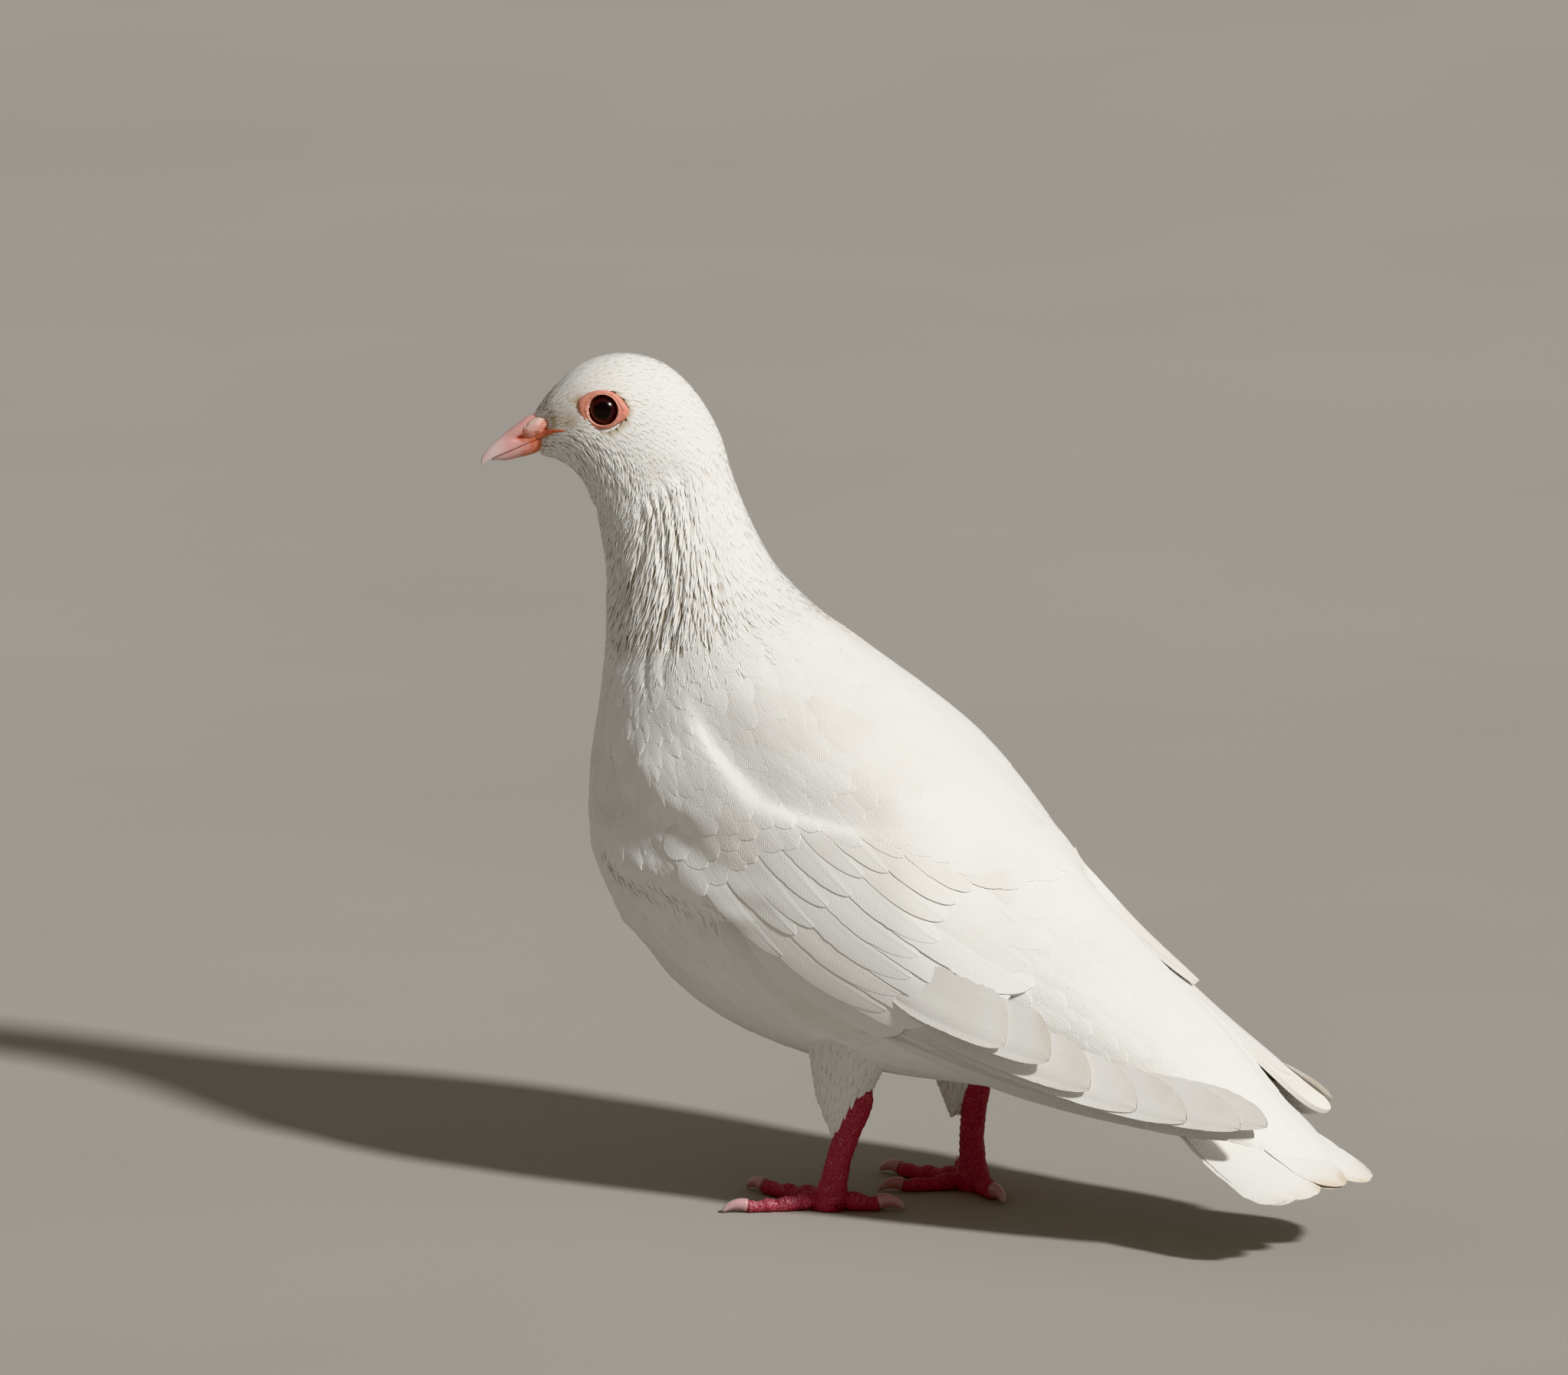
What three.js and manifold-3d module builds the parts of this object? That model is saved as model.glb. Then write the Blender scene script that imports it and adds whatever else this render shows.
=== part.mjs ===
// A standing white pigeon at life size, in millimetres.
// It looks along -X, its left side is -Y, up is +Z and it stands on the plane z = 0.
// The body is one lofted form through named ribs, parted into head, neck and torso by gaps of GAP.
// Wings and tail are cores that carry overlapping vanes; bill, eyes, lids, toes and claws are pieces of their own.
import * as THREE from 'three';
import { mergeVertices } from 'three/addons/utils/BufferGeometryUtils.js';
import Module from 'manifold-3d';

const wasm = await Module();
wasm.setup();

// ---- driving dimensions -------------------------------------------------------------------------

const GAP = 0.3; // clearance between touching pieces
const HEAD_TURN = 31; // degrees that the head looks to the left of the body
const NECK_X = -81.7; // the head turns about the upright line through this x
const AROUND = 24; // points round the body
const LID_SIDES = 16; // points round an eyelid

// Ribs from the bill to the tail root: back and front end of each rib in the median plane (x, z),
// half the width, and the share of the head's turn. Between them the skin is a smooth curve.
const RIBS = [
  { name: 'face', back: [-118.6, 223.2], front: [-116.4, 211.4], half: 4.2, turn: 1 },
  { name: 'brow', back: [-112.4, 231.4], front: [-111.4, 210.2], half: 8.4, turn: 1 },
  { name: 'forehead', back: [-103.3, 238.7], front: [-106.5, 207.0], half: 12, turn: 1 },
  { name: 'crown', back: [-92.3, 241.4], front: [-103.2, 203], half: 13.6, turn: 1 },
  { name: 'hind crown', back: [-80.8, 238.6], front: [-101.4, 198.4], half: 14.2, turn: 1 },
  { name: 'nape', back: [-71.2, 230], front: [-99.8, 193.6], half: 14.6, turn: 1 },
  { name: 'upper neck', back: [-64.2, 217.8], front: [-98.4, 187.4], half: 15.2, turn: 0.95 },
  { name: 'neck', back: [-60.2, 205.2], front: [-97.4, 179.5], half: 16.4, turn: 0.8 },
  { name: 'lower neck', back: [-54.5, 192.5], front: [-97.2, 169], half: 18.6, turn: 0.5 },
  { name: 'neck root', back: [-46, 180.6], front: [-97, 155], half: 22.6, turn: 0.2 },
  { name: 'shoulder', back: [-33, 171], front: [-97.8, 138], half: 29, turn: 0 },
  { name: 'crop', back: [-19, 162.8], front: [-99.6, 120], half: 36.5, turn: 0 },
  { name: 'breast', back: [-4, 153.6], front: [-99, 102], half: 41.5, turn: 0 },
  { name: 'keel', back: [13.2, 141.2], front: [-93, 84], half: 44.6, turn: 0 },
  { name: 'belly front', back: [29.4, 127.6], front: [-81.4, 68.6], half: 45.8, turn: 0 },
  { name: 'belly', back: [46, 113.2], front: [-62, 53], half: 45, turn: 0 },
  { name: 'loin', back: [61, 100], front: [-36, 43.4], half: 41, turn: 0 },
  { name: 'rump', back: [76, 87], front: [-5, 39], half: 37, turn: 0 },
  { name: 'vent', back: [92, 74], front: [30, 38.6], half: 33, turn: 0 },
  { name: 'tail coverts', back: [107.5, 61], front: [60, 38], half: 28.5, turn: 0 },
  { name: 'tail root', back: [118.5, 49.6], front: [86, 34.6], half: 24, turn: 0 },
  { name: 'coverts end', back: [130, 38.2], front: [105, 31], half: 18.5, turn: 0 },
];
const HEAD_END = 5.6; // the head reaches from rib 0 to here
const NECK_END = 9.6; // the neck ends here and the torso begins
const TORSO_END = RIBS.length - 1;

// Bill, in the head's own profile: x, top or bottom edge, and the line of the mouth.
const BILL_TIP = [-133.4, 209.4];
const BILL_ROOT_X = -107.2;
const BILL_HALF = 4.3;
const CULMEN_HIGH = 7.2; // upper bill above the mouth line at its root
const MOUTH_RISE = 0.45; // slope of the mouth line from the tip back to its corner
const MOUTH_CORNER_Z = 219.4;
const HOOK = 3.1; // how far the upper bill reaches past the lower
const TIP_DROOP = 0.9; // how far the upper bill's tip droops over the mouth line
const LOWER_BILL = { tip: 1.9, swell: 4.7, root: 4.3 }; // its depth at the tip, how fast that grows, and where it stops
const CERE = { x: -116.4, z: 220.8, out: 2.7, length: 5.8, height: 2.9, half: 2.9, tilt: 25 };
const NOSTRIL = { x: -121.5, z: 217.4, out: 3.9, length: 4.2, deep: 1.6, height: 0.55, tilt: 20 };

const EYE = {
  x: -97.7, z: 226.8, out: 10.6, ball: 3.3, iris: 3.9, // ball is half its thickness, iris half its width
  lidLong: 6.9, lidHigh: 5.7, lidAhead: 0.4, faceUp: 4, faceAhead: 8, // the way it faces, in degrees
};

// Wing: where its core lies on the torso, in ribs and in degrees from the middle of the back.
const WING_FROM = 12.2;
const WING_TO = 15.6;
const WING_TOP = 5;
const WING_LOW = 106;
const WING_DEPTH = 5; // how deep the core is rooted before the torso is cut from it

const FEATHER = 0.65; // thickness of a vane along its shaft
const SHINGLE = 9; // degrees that a vane on the wing is rolled over its neighbour

// Primaries, innermost first: shaft roots as x, z and tips as x, distance from the median plane, z.
const HAND_ROOT_TOP = [14, 75];
const HAND_ROOT_LOW = [8, 62];
const HAND_TIPS = [
  [59.5, 42.5, 60.4], [72.4, 39.4, 56.6], [83.8, 36, 48.8], [97, 32.2, 43.6],
  [111.6, 29, 41.2], [128.5, 27.2, 40.6], [136.7, 26, 42], [131.7, 25, 38],
];
const HAND_ROOT_OUT = 41.8;
const HAND_STACK = 0.3; // at its root each primary lies this far outside the next outer one
const HAND_BOW = 2.2; // how far the shafts bow away from the body
const HAND_SAG = [2, 11]; // and how far they sag, innermost and outermost
const PRIMARY_OUTER = 3;
const PRIMARY_INNER = [14, 9.5]; // innermost and outermost
const FAR_TIP_SHIFT = [-9, 2.4, -3.6]; // the right wing is folded a little lower than the left

// Tail: twelve vanes in two halves that start beside the middle.
const TAIL_HALF_COUNT = 6;
const TAIL_TIP = [148.4, 23.8];
const TAIL_ROOT = [88, 57];
const TAIL_STEP = 4.25; // sideways from one shaft to the next at the tips
const TAIL_ROOT_STEP = 2.6;
const TAIL_STACK = 1; // each vane lies this far below the one before
const TAIL_ARCH = 3; // degrees that the left half bends down at each further vane
const TAIL_ARCH_RIGHT = 1.5; // and the right half, which lies under the folded wing
const TAIL_ROUNDING = 7.5; // how much shorter the outermost vane is
const RECTRIX_HALF = 9.8;

// Legs: left and right foot, each as the point under the ankle pad.
// ankle is the joint's middle; each heading is the way that a toe points, in degrees from +X.
const FEET = {
  left: { x: -11.7, y: -21.9, ankle: [1.6, -22, 33.6], heading: { toe1: 24, toe2: 122, toe3: 162, toe4: 221 } },
  right: { x: 11.2, y: 22.2, ankle: [15, 22, 33.6], heading: { toe1: -36, toe2: 218, toe3: 170, toe4: 130 } },
};
const SHANK_RADIUS = 3.7;
const PAD_RADIUS = 5.6;
const CLAW_ARCH = 80; // degrees of arc that a claw bends through
const TOES = [
  { name: 'toe3', length: 25, radius: 2.6, claw: 7.5 },
  { name: 'toe1', length: 10.5, radius: 2.5, claw: 7.5 },
  { name: 'toe2', length: 18, radius: 2.4, claw: 6.5 },
  { name: 'toe4', length: 21, radius: 2.3, claw: 6.5 },
];

const SKIN_TONE = { eye: 0x1c0709, lid: 0xd8775a, bill: 0xe9b3a4, cere: 0xf0c9bd, leg: 0xa3283a, claw: 0xe6cfc6 };
const PLUMAGE = 0xf3f1ec;

// ---- small helpers -------------------------------------------------------------------------------

const rad = (degrees) => (degrees * Math.PI) / 180;
const mix = (a, b, t) => a + (b - a) * t;
const mixPoint = (a, b, t) => a.map((value, i) => mix(value, b[i], t));
const vec = (point) => new THREE.Vector3(point[0], point[1], point[2]);

function bezier(a, b, c, t) {
  return mixPoint(mixPoint(a, b, t), mixPoint(b, c, t), t);
}

// A steady pseudo-random draw in -1..1 for the small differences between feathers.
function vary(seed) {
  const wave = Math.sin(seed * 12.9898 + 4.1) * 43758.5453;
  return 2 * (wave - Math.floor(wave)) - 1;
}

function curveThrough(values, at) {
  const last = values.length - 1;
  const i = Math.min(Math.floor(Math.max(at, 0)), last - 1);
  const t = at - i;
  const p1 = values[i];
  const p2 = values[i + 1];
  const p0 = i > 0 ? values[i - 1] : 2 * p1 - p2;
  const p3 = i + 2 <= last ? values[i + 2] : 2 * p2 - p1;
  const cubic = -p0 + 3 * p1 - 3 * p2 + p3;
  const square = 2 * p0 - 5 * p1 + 4 * p2 - p3;
  return 0.5 * (2 * p1 + (p2 - p0) * t + square * t * t + cubic * t * t * t);
}

// A closed surface from points and triangles, with its faces turned outwards.
function closedSurface(points, triangles) {
  let volume = 0;
  for (const [a, b, c] of triangles) {
    volume += points[a].dot(points[b].clone().cross(points[c]));
  }
  const index = triangles.flatMap(([a, b, c]) => (volume < 0 ? [a, c, b] : [a, b, c]));
  const geometry = new THREE.BufferGeometry();
  geometry.setAttribute('position', new THREE.Float32BufferAttribute(points.flatMap((p) => p.toArray()), 3));
  geometry.setIndex(index);
  return geometry;
}

// Rings of equal count joined into a closed surface with flat ends.
function loft(rings) {
  const count = rings[0].length;
  const points = rings.flat();
  const triangles = [];
  for (let i = 0; i + 1 < rings.length; i += 1) {
    for (let j = 0; j < count; j += 1) {
      const a = i * count + j;
      const b = i * count + ((j + 1) % count);
      triangles.push([a, b, b + count], [a, b + count, a + count]);
    }
  }
  const ends = [0, rings.length - 1];
  for (const end of ends) {
    const centre = new THREE.Vector3();
    rings[end].forEach((p) => centre.add(p));
    points.push(centre.divideScalar(count));
    const hub = points.length - 1;
    for (let j = 0; j < count; j += 1) {
      const a = end * count + j;
      const b = end * count + ((j + 1) % count);
      triangles.push(end === 0 ? [hub, b, a] : [hub, a, b]);
    }
  }
  return closedSurface(points, triangles);
}

function solid(geometry) {
  const plain = geometry.clone();
  plain.deleteAttribute('normal');
  plain.deleteAttribute('uv');
  const merged = mergeVertices(plain, 1e-5);
  const vertProperties = new Float32Array(merged.attributes.position.array);
  const triVerts = new Uint32Array(merged.index.array);
  return new wasm.Manifold(new wasm.Mesh({ numProp: 3, vertProperties, triVerts }));
}

// The largest closed surface of a solid, which drops scraps and fills sealed hollows.
function largest(body) {
  return body.decompose().reduce((best, piece) => (piece.volume() > best.volume() ? piece : best));
}

function joined(geometries) {
  return geometries.map(solid).reduce((sum, piece) => sum.add(piece));
}

function geometryOf(body) {
  const mesh = largest(body).getMesh();
  const geometry = new THREE.BufferGeometry();
  geometry.setAttribute('position', new THREE.BufferAttribute(new Float32Array(mesh.vertProperties), 3));
  geometry.setIndex(new THREE.BufferAttribute(new Uint32Array(mesh.triVerts), 1));
  return geometry;
}

const bird = new THREE.Group();

function addPiece(name, shape, colour, roughness = 0.8) {
  const geometry = shape.isBufferGeometry ? shape : geometryOf(shape);
  geometry.computeVertexNormals();
  const material = new THREE.MeshStandardMaterial({ color: colour, roughness, metalness: 0 });
  const mesh = new THREE.Mesh(geometry, material);
  mesh.name = name;
  bird.add(mesh);
}

// ---- the body's skin -----------------------------------------------------------------------------

function turnAboutNeck(point, share) {
  const turn = rad(HEAD_TURN * share);
  const x = point[0] - NECK_X;
  const y = point[1];
  return [NECK_X + x * Math.cos(turn) - y * Math.sin(turn), x * Math.sin(turn) + y * Math.cos(turn), point[2]];
}

// A point of the skin: rib position, then degrees from the back (0) over the left side (90) to the front (180).
function skinPoint(at, degrees) {
  const value = (read) => curveThrough(RIBS.map(read), at);
  const back = [value((r) => r.back[0]), value((r) => r.back[1])];
  const front = [value((r) => r.front[0]), value((r) => r.front[1])];
  const reach = (1 + Math.cos(rad(degrees))) / 2;
  const side = -value((r) => r.half) * Math.sin(rad(degrees));
  const point = [mix(front[0], back[0], reach), side, mix(front[1], back[1], reach)];
  return vec(turnAboutNeck(point, value((r) => r.turn)));
}

function skinNormal(at, degrees) {
  const step = 0.02;
  const low = Math.max(at - step, 0);
  const high = Math.min(at + step, TORSO_END);
  const along = skinPoint(high, degrees).sub(skinPoint(low, degrees));
  const around = skinPoint(at, degrees + 1).sub(skinPoint(at, degrees - 1));
  return around.cross(along).normalize();
}

function skin(at, degrees, lift = 0) {
  return skinPoint(at, degrees).addScaledVector(skinNormal(at, degrees), lift);
}

function skinRing(at, lift = 0) {
  return Array.from({ length: AROUND }, (_, j) => skin(at, (360 * j) / AROUND, lift));
}

// A flat ring moved by some distance along its own normal, towards or away from its neighbour.
function movedRing(ring, neighbour, distance) {
  const [a, b, c] = [0, AROUND / 3, (2 * AROUND) / 3].map((j) => ring[j]);
  const normal = b.clone().sub(a).cross(c.clone().sub(a)).normalize();
  if (normal.dot(neighbour[0].clone().sub(a)) < 0) {
    normal.negate();
  }
  return ring.map((p) => p.clone().addScaledVector(normal, distance));
}

// The stretch of the body between two ribs; leaveGap starts it GAP late, and lift makes it fatter all over.
function bodyStretch(from, to, steps, leaveGap, lift = 0) {
  const rings = Array.from({ length: steps + 1 }, (_, i) => skinRing(mix(from, to, i / steps), lift));
  if (leaveGap) {
    rings[0] = movedRing(rings[0], rings[1], GAP);
  }
  if (lift > 0) {
    rings[steps] = movedRing(rings[steps], rings[steps - 1], -lift);
  }
  return loft(rings);
}

// ---- vanes ---------------------------------------------------------------------------------------

// Stations along a vane and its width at each, as shares of its length and of its full width.
const LONG_VANE = { at: [0, 0.4, 0.74, 0.93, 1], width: [0.55, 1, 1, 0.8, 0.42] };
const BROAD_VANE = { at: [0, 0.4, 0.76, 0.93, 1], width: [0.5, 0.9, 1, 0.9, 0.5] };
const SHORT_VANE = { at: [0, 0.5, 0.86, 1], width: [0.6, 1, 0.85, 0.42] };

// One flight feather as a thin blade. path(t) gives its shaft and the direction away from the body;
// outer and inner are its two half widths, roll lifts the outer edge, and camber lets both edges fall.
function vane({ path, outer, inner, form = LONG_VANE, hand = 1, roll = 0, camber = 0.5 }) {
  const points = [];
  form.at.forEach((t, i) => {
    const { p, up } = path(t);
    const ahead = path(Math.min(t + 0.02, 1)).p.clone();
    const along = ahead.sub(path(Math.max(t - 0.02, 0)).p).normalize();
    const flat = along.clone().cross(up).normalize().multiplyScalar(hand);
    const away = flat.clone().cross(along).normalize();
    if (away.dot(up) < 0) {
      away.negate();
    }
    const side = flat.clone().multiplyScalar(Math.cos(rad(roll))).addScaledVector(away, Math.sin(rad(roll)));
    const rise = away.clone().multiplyScalar(Math.cos(rad(roll))).addScaledVector(flat, -Math.sin(rad(roll)));
    const half = (FEATHER * mix(1.15, 0.85, t)) / 2;
    const width = form.width[i];
    const place = (across, height) => p.clone().addScaledVector(side, across * width).addScaledVector(rise, height);
    const fall = camber * width;
    points.push(place(outer, half * 0.8 - fall), place(0, half), place(-inner, half * 0.8 - fall));
    points.push(place(-inner, -half * 0.8 - fall), place(0, -half), place(outer, -half * 0.8 - fall));
  });
  const triangles = [];
  const panel = (a, b, rows) => {
    triangles.push([rows[0] + a, rows[0] + b, rows[1] + b], [rows[0] + a, rows[1] + b, rows[1] + a]);
  };
  for (let i = 0; i + 1 < form.at.length; i += 1) {
    const rows = [i * 6, i * 6 + 6];
    panel(0, 1, rows);
    panel(1, 2, rows);
    panel(2, 3, rows);
    panel(5, 0, rows);
    triangles.push([rows[0] + 5, rows[1] + 4, rows[0] + 4], [rows[0] + 5, rows[1] + 5, rows[1] + 4]);
    triangles.push([rows[0] + 4, rows[1] + 3, rows[0] + 3], [rows[0] + 4, rows[1] + 4, rows[1] + 3]);
  }
  const end = (form.at.length - 1) * 6;
  triangles.push([0, 5, 4], [0, 4, 1], [1, 4, 3], [1, 3, 2]);
  triangles.push([end, end + 4, end + 5], [end, end + 1, end + 4], [end + 1, end + 3, end + 4]);
  triangles.push([end + 1, end + 2, end + 3]);
  return closedSurface(points, triangles);
}

// ---- wings ---------------------------------------------------------------------------------------

// A feather that lies on the torso, from a root to a tip in ribs and degrees.
function lyingVane(side, root, tip, widths, lifts, form) {
  const path = (t) => {
    const at = mix(root[0], tip[0], t);
    const degrees = -side * mix(root[1], tip[1], t);
    const lift = mix(...lifts, Math.min(t * 1.6, 1));
    return { p: skin(at, degrees, lift), up: skinNormal(at, degrees) };
  };
  return vane({ path, outer: widths[0], inner: widths[1], form, hand: -side, roll: SHINGLE });
}

// A tier of lying feathers: count of them spread from the lowest to the highest line.
function tier(side, { count, root, tip, low, high, rootLow, rootHigh, widths, lifts, sweep, form = SHORT_VANE }) {
  return Array.from({ length: count }, (_, i) => {
    const t = count > 1 ? i / (count - 1) : 0;
    const rootAngle = mix(rootLow, rootHigh, t);
    const tipAngle = mix(low, high, t);
    const reach = tip + sweep(t, side) + 0.05 * vary(i + count);
    const [rootLift, tipLow, tipHigh] = lifts;
    return lyingVane(side, [root, rootAngle], [reach, tipAngle], widths, [rootLift, mix(tipLow, tipHigh, t)], form);
  });
}

const WING_TIERS = [
  {
    name: 'secondaries', count: 6, root: 14.5, tip: 17.1, low: 95, high: 56, rootLow: 92, rootHigh: 62,
    widths: [6.5, 8], lifts: [1, 5, 2.6], sweep: (t) => -0.35 * (1 - t) ** 2, form: LONG_VANE,
  },
  {
    name: 'tertials', count: 3, root: 14.2, tip: 16.9, low: 47, high: 22, rootLow: 50, rootHigh: 26,
    widths: [7.5, 8], lifts: [1, 2.9, 2.6], sweep: (t, side) => -0.5 * t + (side > 0 ? 0.4 : 0), form: LONG_VANE,
  },
  {
    name: 'greater coverts', count: 6, root: 13.7, tip: 15.8, low: 94, high: 40, rootLow: 90, rootHigh: 44,
    widths: [7, 8.5], lifts: [1.2, 4.4, 3.8], sweep: (t) => 0.1 * t,
  },
  {
    name: 'primary coverts', count: 4, root: 14.2, tip: 16.2, low: 112, high: 100, rootLow: 102, rootHigh: 94,
    widths: [5.5, 7], lifts: [1.2, 5.2, 5.4], sweep: (t) => 0.2 * t,
  },
];

function primary(side, k) {
  const last = HAND_TIPS.length - 1;
  const share = k / last;
  const shift = side > 0 ? FAR_TIP_SHIFT.map((value) => value * share) : [0, 0, 0];
  const stack = HAND_STACK * (last - k);
  const [rootX, rootZ] = mixPoint(HAND_ROOT_TOP, HAND_ROOT_LOW, share);
  const [tipX, tipOut, tipZ] = HAND_TIPS[k];
  const root = [rootX, side * (HAND_ROOT_OUT + stack), rootZ];
  const tip = [tipX + shift[0], side * tipOut + shift[1], tipZ + shift[2]];
  const middle = mixPoint(root, tip, 0.42);
  const bend = [middle[0], middle[1] + side * HAND_BOW, middle[2] - mix(...HAND_SAG, share)];
  const rootUp = new THREE.Vector3(0.05, side, 0.1);
  const tipUp = new THREE.Vector3(0.1, 0.88 * side, 0.47);
  const path = (t) => ({ p: vec(bezier(root, bend, tip, t)), up: rootUp.clone().lerp(tipUp, t).normalize() });
  return vane({ path, outer: PRIMARY_OUTER, inner: mix(...PRIMARY_INNER, share), hand: -side, roll: 5, camber: 0.4 });
}

// The wing's core: a patch of the torso's skin, thickest over the bend of the wing.
function wingCore(side) {
  const rows = 8;
  const columns = 9;
  const lift = (u, v) => 1.5 + 2.4 * (Math.sin(Math.PI * mix(0.06, 0.94, v)) * Math.sin(Math.PI * mix(0.1, 0.86, u))) ** 0.6;
  const layer = (height) => Array.from({ length: (rows + 1) * (columns + 1) }, (_, n) => {
    const u = Math.floor(n / (columns + 1)) / rows;
    const v = (n % (columns + 1)) / columns;
    const pinch = 14 * (1 - u) ** 2;
    const degrees = mix(WING_LOW - pinch, WING_TOP + pinch * 1.3, v);
    return skin(mix(WING_FROM, WING_TO, u), -side * degrees, height(u, v));
  });
  const top = layer(lift);
  const base = layer(() => -WING_DEPTH);
  const points = [...top, ...base];
  const offset = top.length;
  const node = (i, j) => i * (columns + 1) + j;
  const triangles = [];
  const quad = (a, b, c, d) => triangles.push([a, b, c], [a, c, d]);
  for (let i = 0; i < rows; i += 1) {
    for (let j = 0; j < columns; j += 1) {
      const corners = [node(i, j), node(i + 1, j), node(i + 1, j + 1), node(i, j + 1)];
      quad(...corners);
      quad(...corners.map((n) => n + offset).reverse());
    }
    quad(node(i + 1, 0), node(i, 0), node(i, 0) + offset, node(i + 1, 0) + offset);
    quad(node(i, columns), node(i + 1, columns), node(i + 1, columns) + offset, node(i, columns) + offset);
  }
  for (let j = 0; j < columns; j += 1) {
    quad(node(0, j), node(0, j + 1), node(0, j + 1) + offset, node(0, j) + offset);
    quad(node(rows, j + 1), node(rows, j), node(rows, j) + offset, node(rows, j + 1) + offset);
  }
  return closedSurface(points, triangles);
}

function wing(side, torsoSpace) {
  const primaries = HAND_TIPS.map((_, k) => primary(side, k));
  const lying = WING_TIERS.flatMap((row) => tier(side, row));
  return joined([wingCore(side), ...primaries, ...lying]).subtract(torsoSpace);
}

// ---- tail ----------------------------------------------------------------------------------------

function rectrix(side, k) {
  const arch = side < 0 ? TAIL_ARCH : TAIL_ARCH_RIGHT;
  let drop = side < 0 ? TAIL_STACK / 2 : 0;
  let rootDrop = drop;
  for (let i = 1; i <= k; i += 1) {
    drop += TAIL_STACK + TAIL_STEP * Math.tan(rad(arch * i));
    rootDrop += TAIL_STACK + TAIL_ROOT_STEP * Math.tan(rad(2 * arch * i));
  }
  const shortening = TAIL_ROUNDING * (k / (TAIL_HALF_COUNT - 1)) ** 1.6;
  const tip = [TAIL_TIP[0] - shortening, side * (2.6 + TAIL_STEP * k), TAIL_TIP[1] - drop + shortening * 0.55];
  const root = [TAIL_ROOT[0], side * (1.6 + TAIL_ROOT_STEP * k), TAIL_ROOT[1] - rootDrop];
  const bend = mixPoint(root, tip, 0.5);
  bend[2] -= 1;
  const tilt = (t) => side * rad(arch * mix(2, 1, t) * k);
  const upright = new THREE.Vector3(0.49, 0, 0.87);
  const path = (t) => {
    const up = upright.clone().multiplyScalar(Math.cos(tilt(t))).add(new THREE.Vector3(0, Math.sin(tilt(t)), 0));
    return { p: vec(bezier(root, bend, tip, t)), up: up.normalize() };
  };
  const room = 2.2 + TAIL_STEP * k;
  const inner = k === 0 ? RECTRIX_HALF : Math.min(RECTRIX_HALF, room);
  return vane({ path, outer: RECTRIX_HALF, inner, form: BROAD_VANE, hand: -side, camber: 0.3 });
}

// The flesh and covert mass that the tail feathers leave, a flattened block behind the torso.
function tailBlock() {
  const stations = [
    { x: 88, z: 52, half: 14, high: 8 },
    { x: 102, z: 44, half: 18, high: 7 },
    { x: 114, z: 37.6, half: 20, high: 4.6 },
    { x: 123, z: 33, half: 20, high: 3 },
    { x: 129, z: 30, half: 18, high: 1.6 },
  ];
  const rings = stations.map(({ x, z, half, high }) => Array.from({ length: 16 }, (_, j) => {
    const a = (2 * Math.PI * j) / 16;
    const bow = 0.3 * half * (1 - Math.cos(Math.asin(Math.sin(a))));
    return new THREE.Vector3(x + 0.45 * high * Math.cos(a), half * Math.sin(a), z + high * Math.cos(a) - bow);
  }));
  return loft(rings);
}

function tail(torsoSpace) {
  const feathers = [];
  for (let k = TAIL_HALF_COUNT - 1; k >= 0; k -= 1) {
    feathers.push(rectrix(-1, k), rectrix(1, k));
  }
  return joined([tailBlock(), ...feathers]).subtract(torsoSpace);
}

// ---- head pieces ---------------------------------------------------------------------------------

const mouthHeight = (x) => Math.min(BILL_TIP[1] + MOUTH_RISE * (x - BILL_TIP[0]), MOUTH_CORNER_Z);

function inHead(x, out, z) {
  return vec(turnAboutNeck([x, out, z], 1));
}

// Half of the bill as rings from tip to root; top is +1 for the upper bill and -1 for the lower.
function billHalf(top, grow) {
  const tipX = BILL_TIP[0] + (top > 0 ? 0 : HOOK);
  const length = BILL_ROOT_X - tipX;
  const steps = 6;
  const rings = [];
  for (let i = 0; i <= steps; i += 1) {
    const t = i / steps;
    const x = tipX + length * t - (i === 0 ? grow : 0) + (i === steps ? grow : 0);
    const half = BILL_HALF * (0.14 + 0.86 * Math.sin((Math.PI / 2) * Math.min(t * 1.25, 1)) ** 0.8) + grow;
    const seam = mouthHeight(x) + top * (GAP / 2 - grow) - (top > 0 && i === 0 ? TIP_DROOP : 0);
    const upperHeight = 0.5 + (CULMEN_HIGH - 0.5) * Math.min(t * 2, 1) ** 0.55;
    const lowerHeight = Math.min(LOWER_BILL.tip + LOWER_BILL.swell * t, LOWER_BILL.root);
    const height = (top > 0 ? upperHeight : lowerHeight) + 2 * grow;
    rings.push(Array.from({ length: 10 }, (_, j) => {
      const a = (Math.PI * j) / 9;
      return inHead(x, half * Math.cos(a), seam + top * height * Math.sin(a) ** 0.8);
    }));
  }
  return solid(loft(rings));
}

// The two soft lobes over the nostrils, one ellipsoid a side.
function cereLobe(side, grow) {
  const lobe = new THREE.SphereGeometry(1, 10, 7);
  lobe.scale(CERE.length + grow, CERE.half + grow, CERE.height + grow);
  lobe.rotateY(rad(-CERE.tilt));
  lobe.translate(CERE.x - NECK_X, side * CERE.out, CERE.z);
  lobe.rotateZ(rad(HEAD_TURN));
  lobe.translate(NECK_X, 0, 0);
  return solid(lobe);
}

function eyePlace(side, geometry) {
  geometry.rotateX(side * rad(EYE.faceUp - 90));
  geometry.rotateZ(side * rad(EYE.faceAhead));
  geometry.translate(EYE.x - NECK_X, side * EYE.out, EYE.z);
  geometry.rotateZ(rad(HEAD_TURN));
  geometry.translate(NECK_X, 0, 0);
  return geometry;
}

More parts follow.
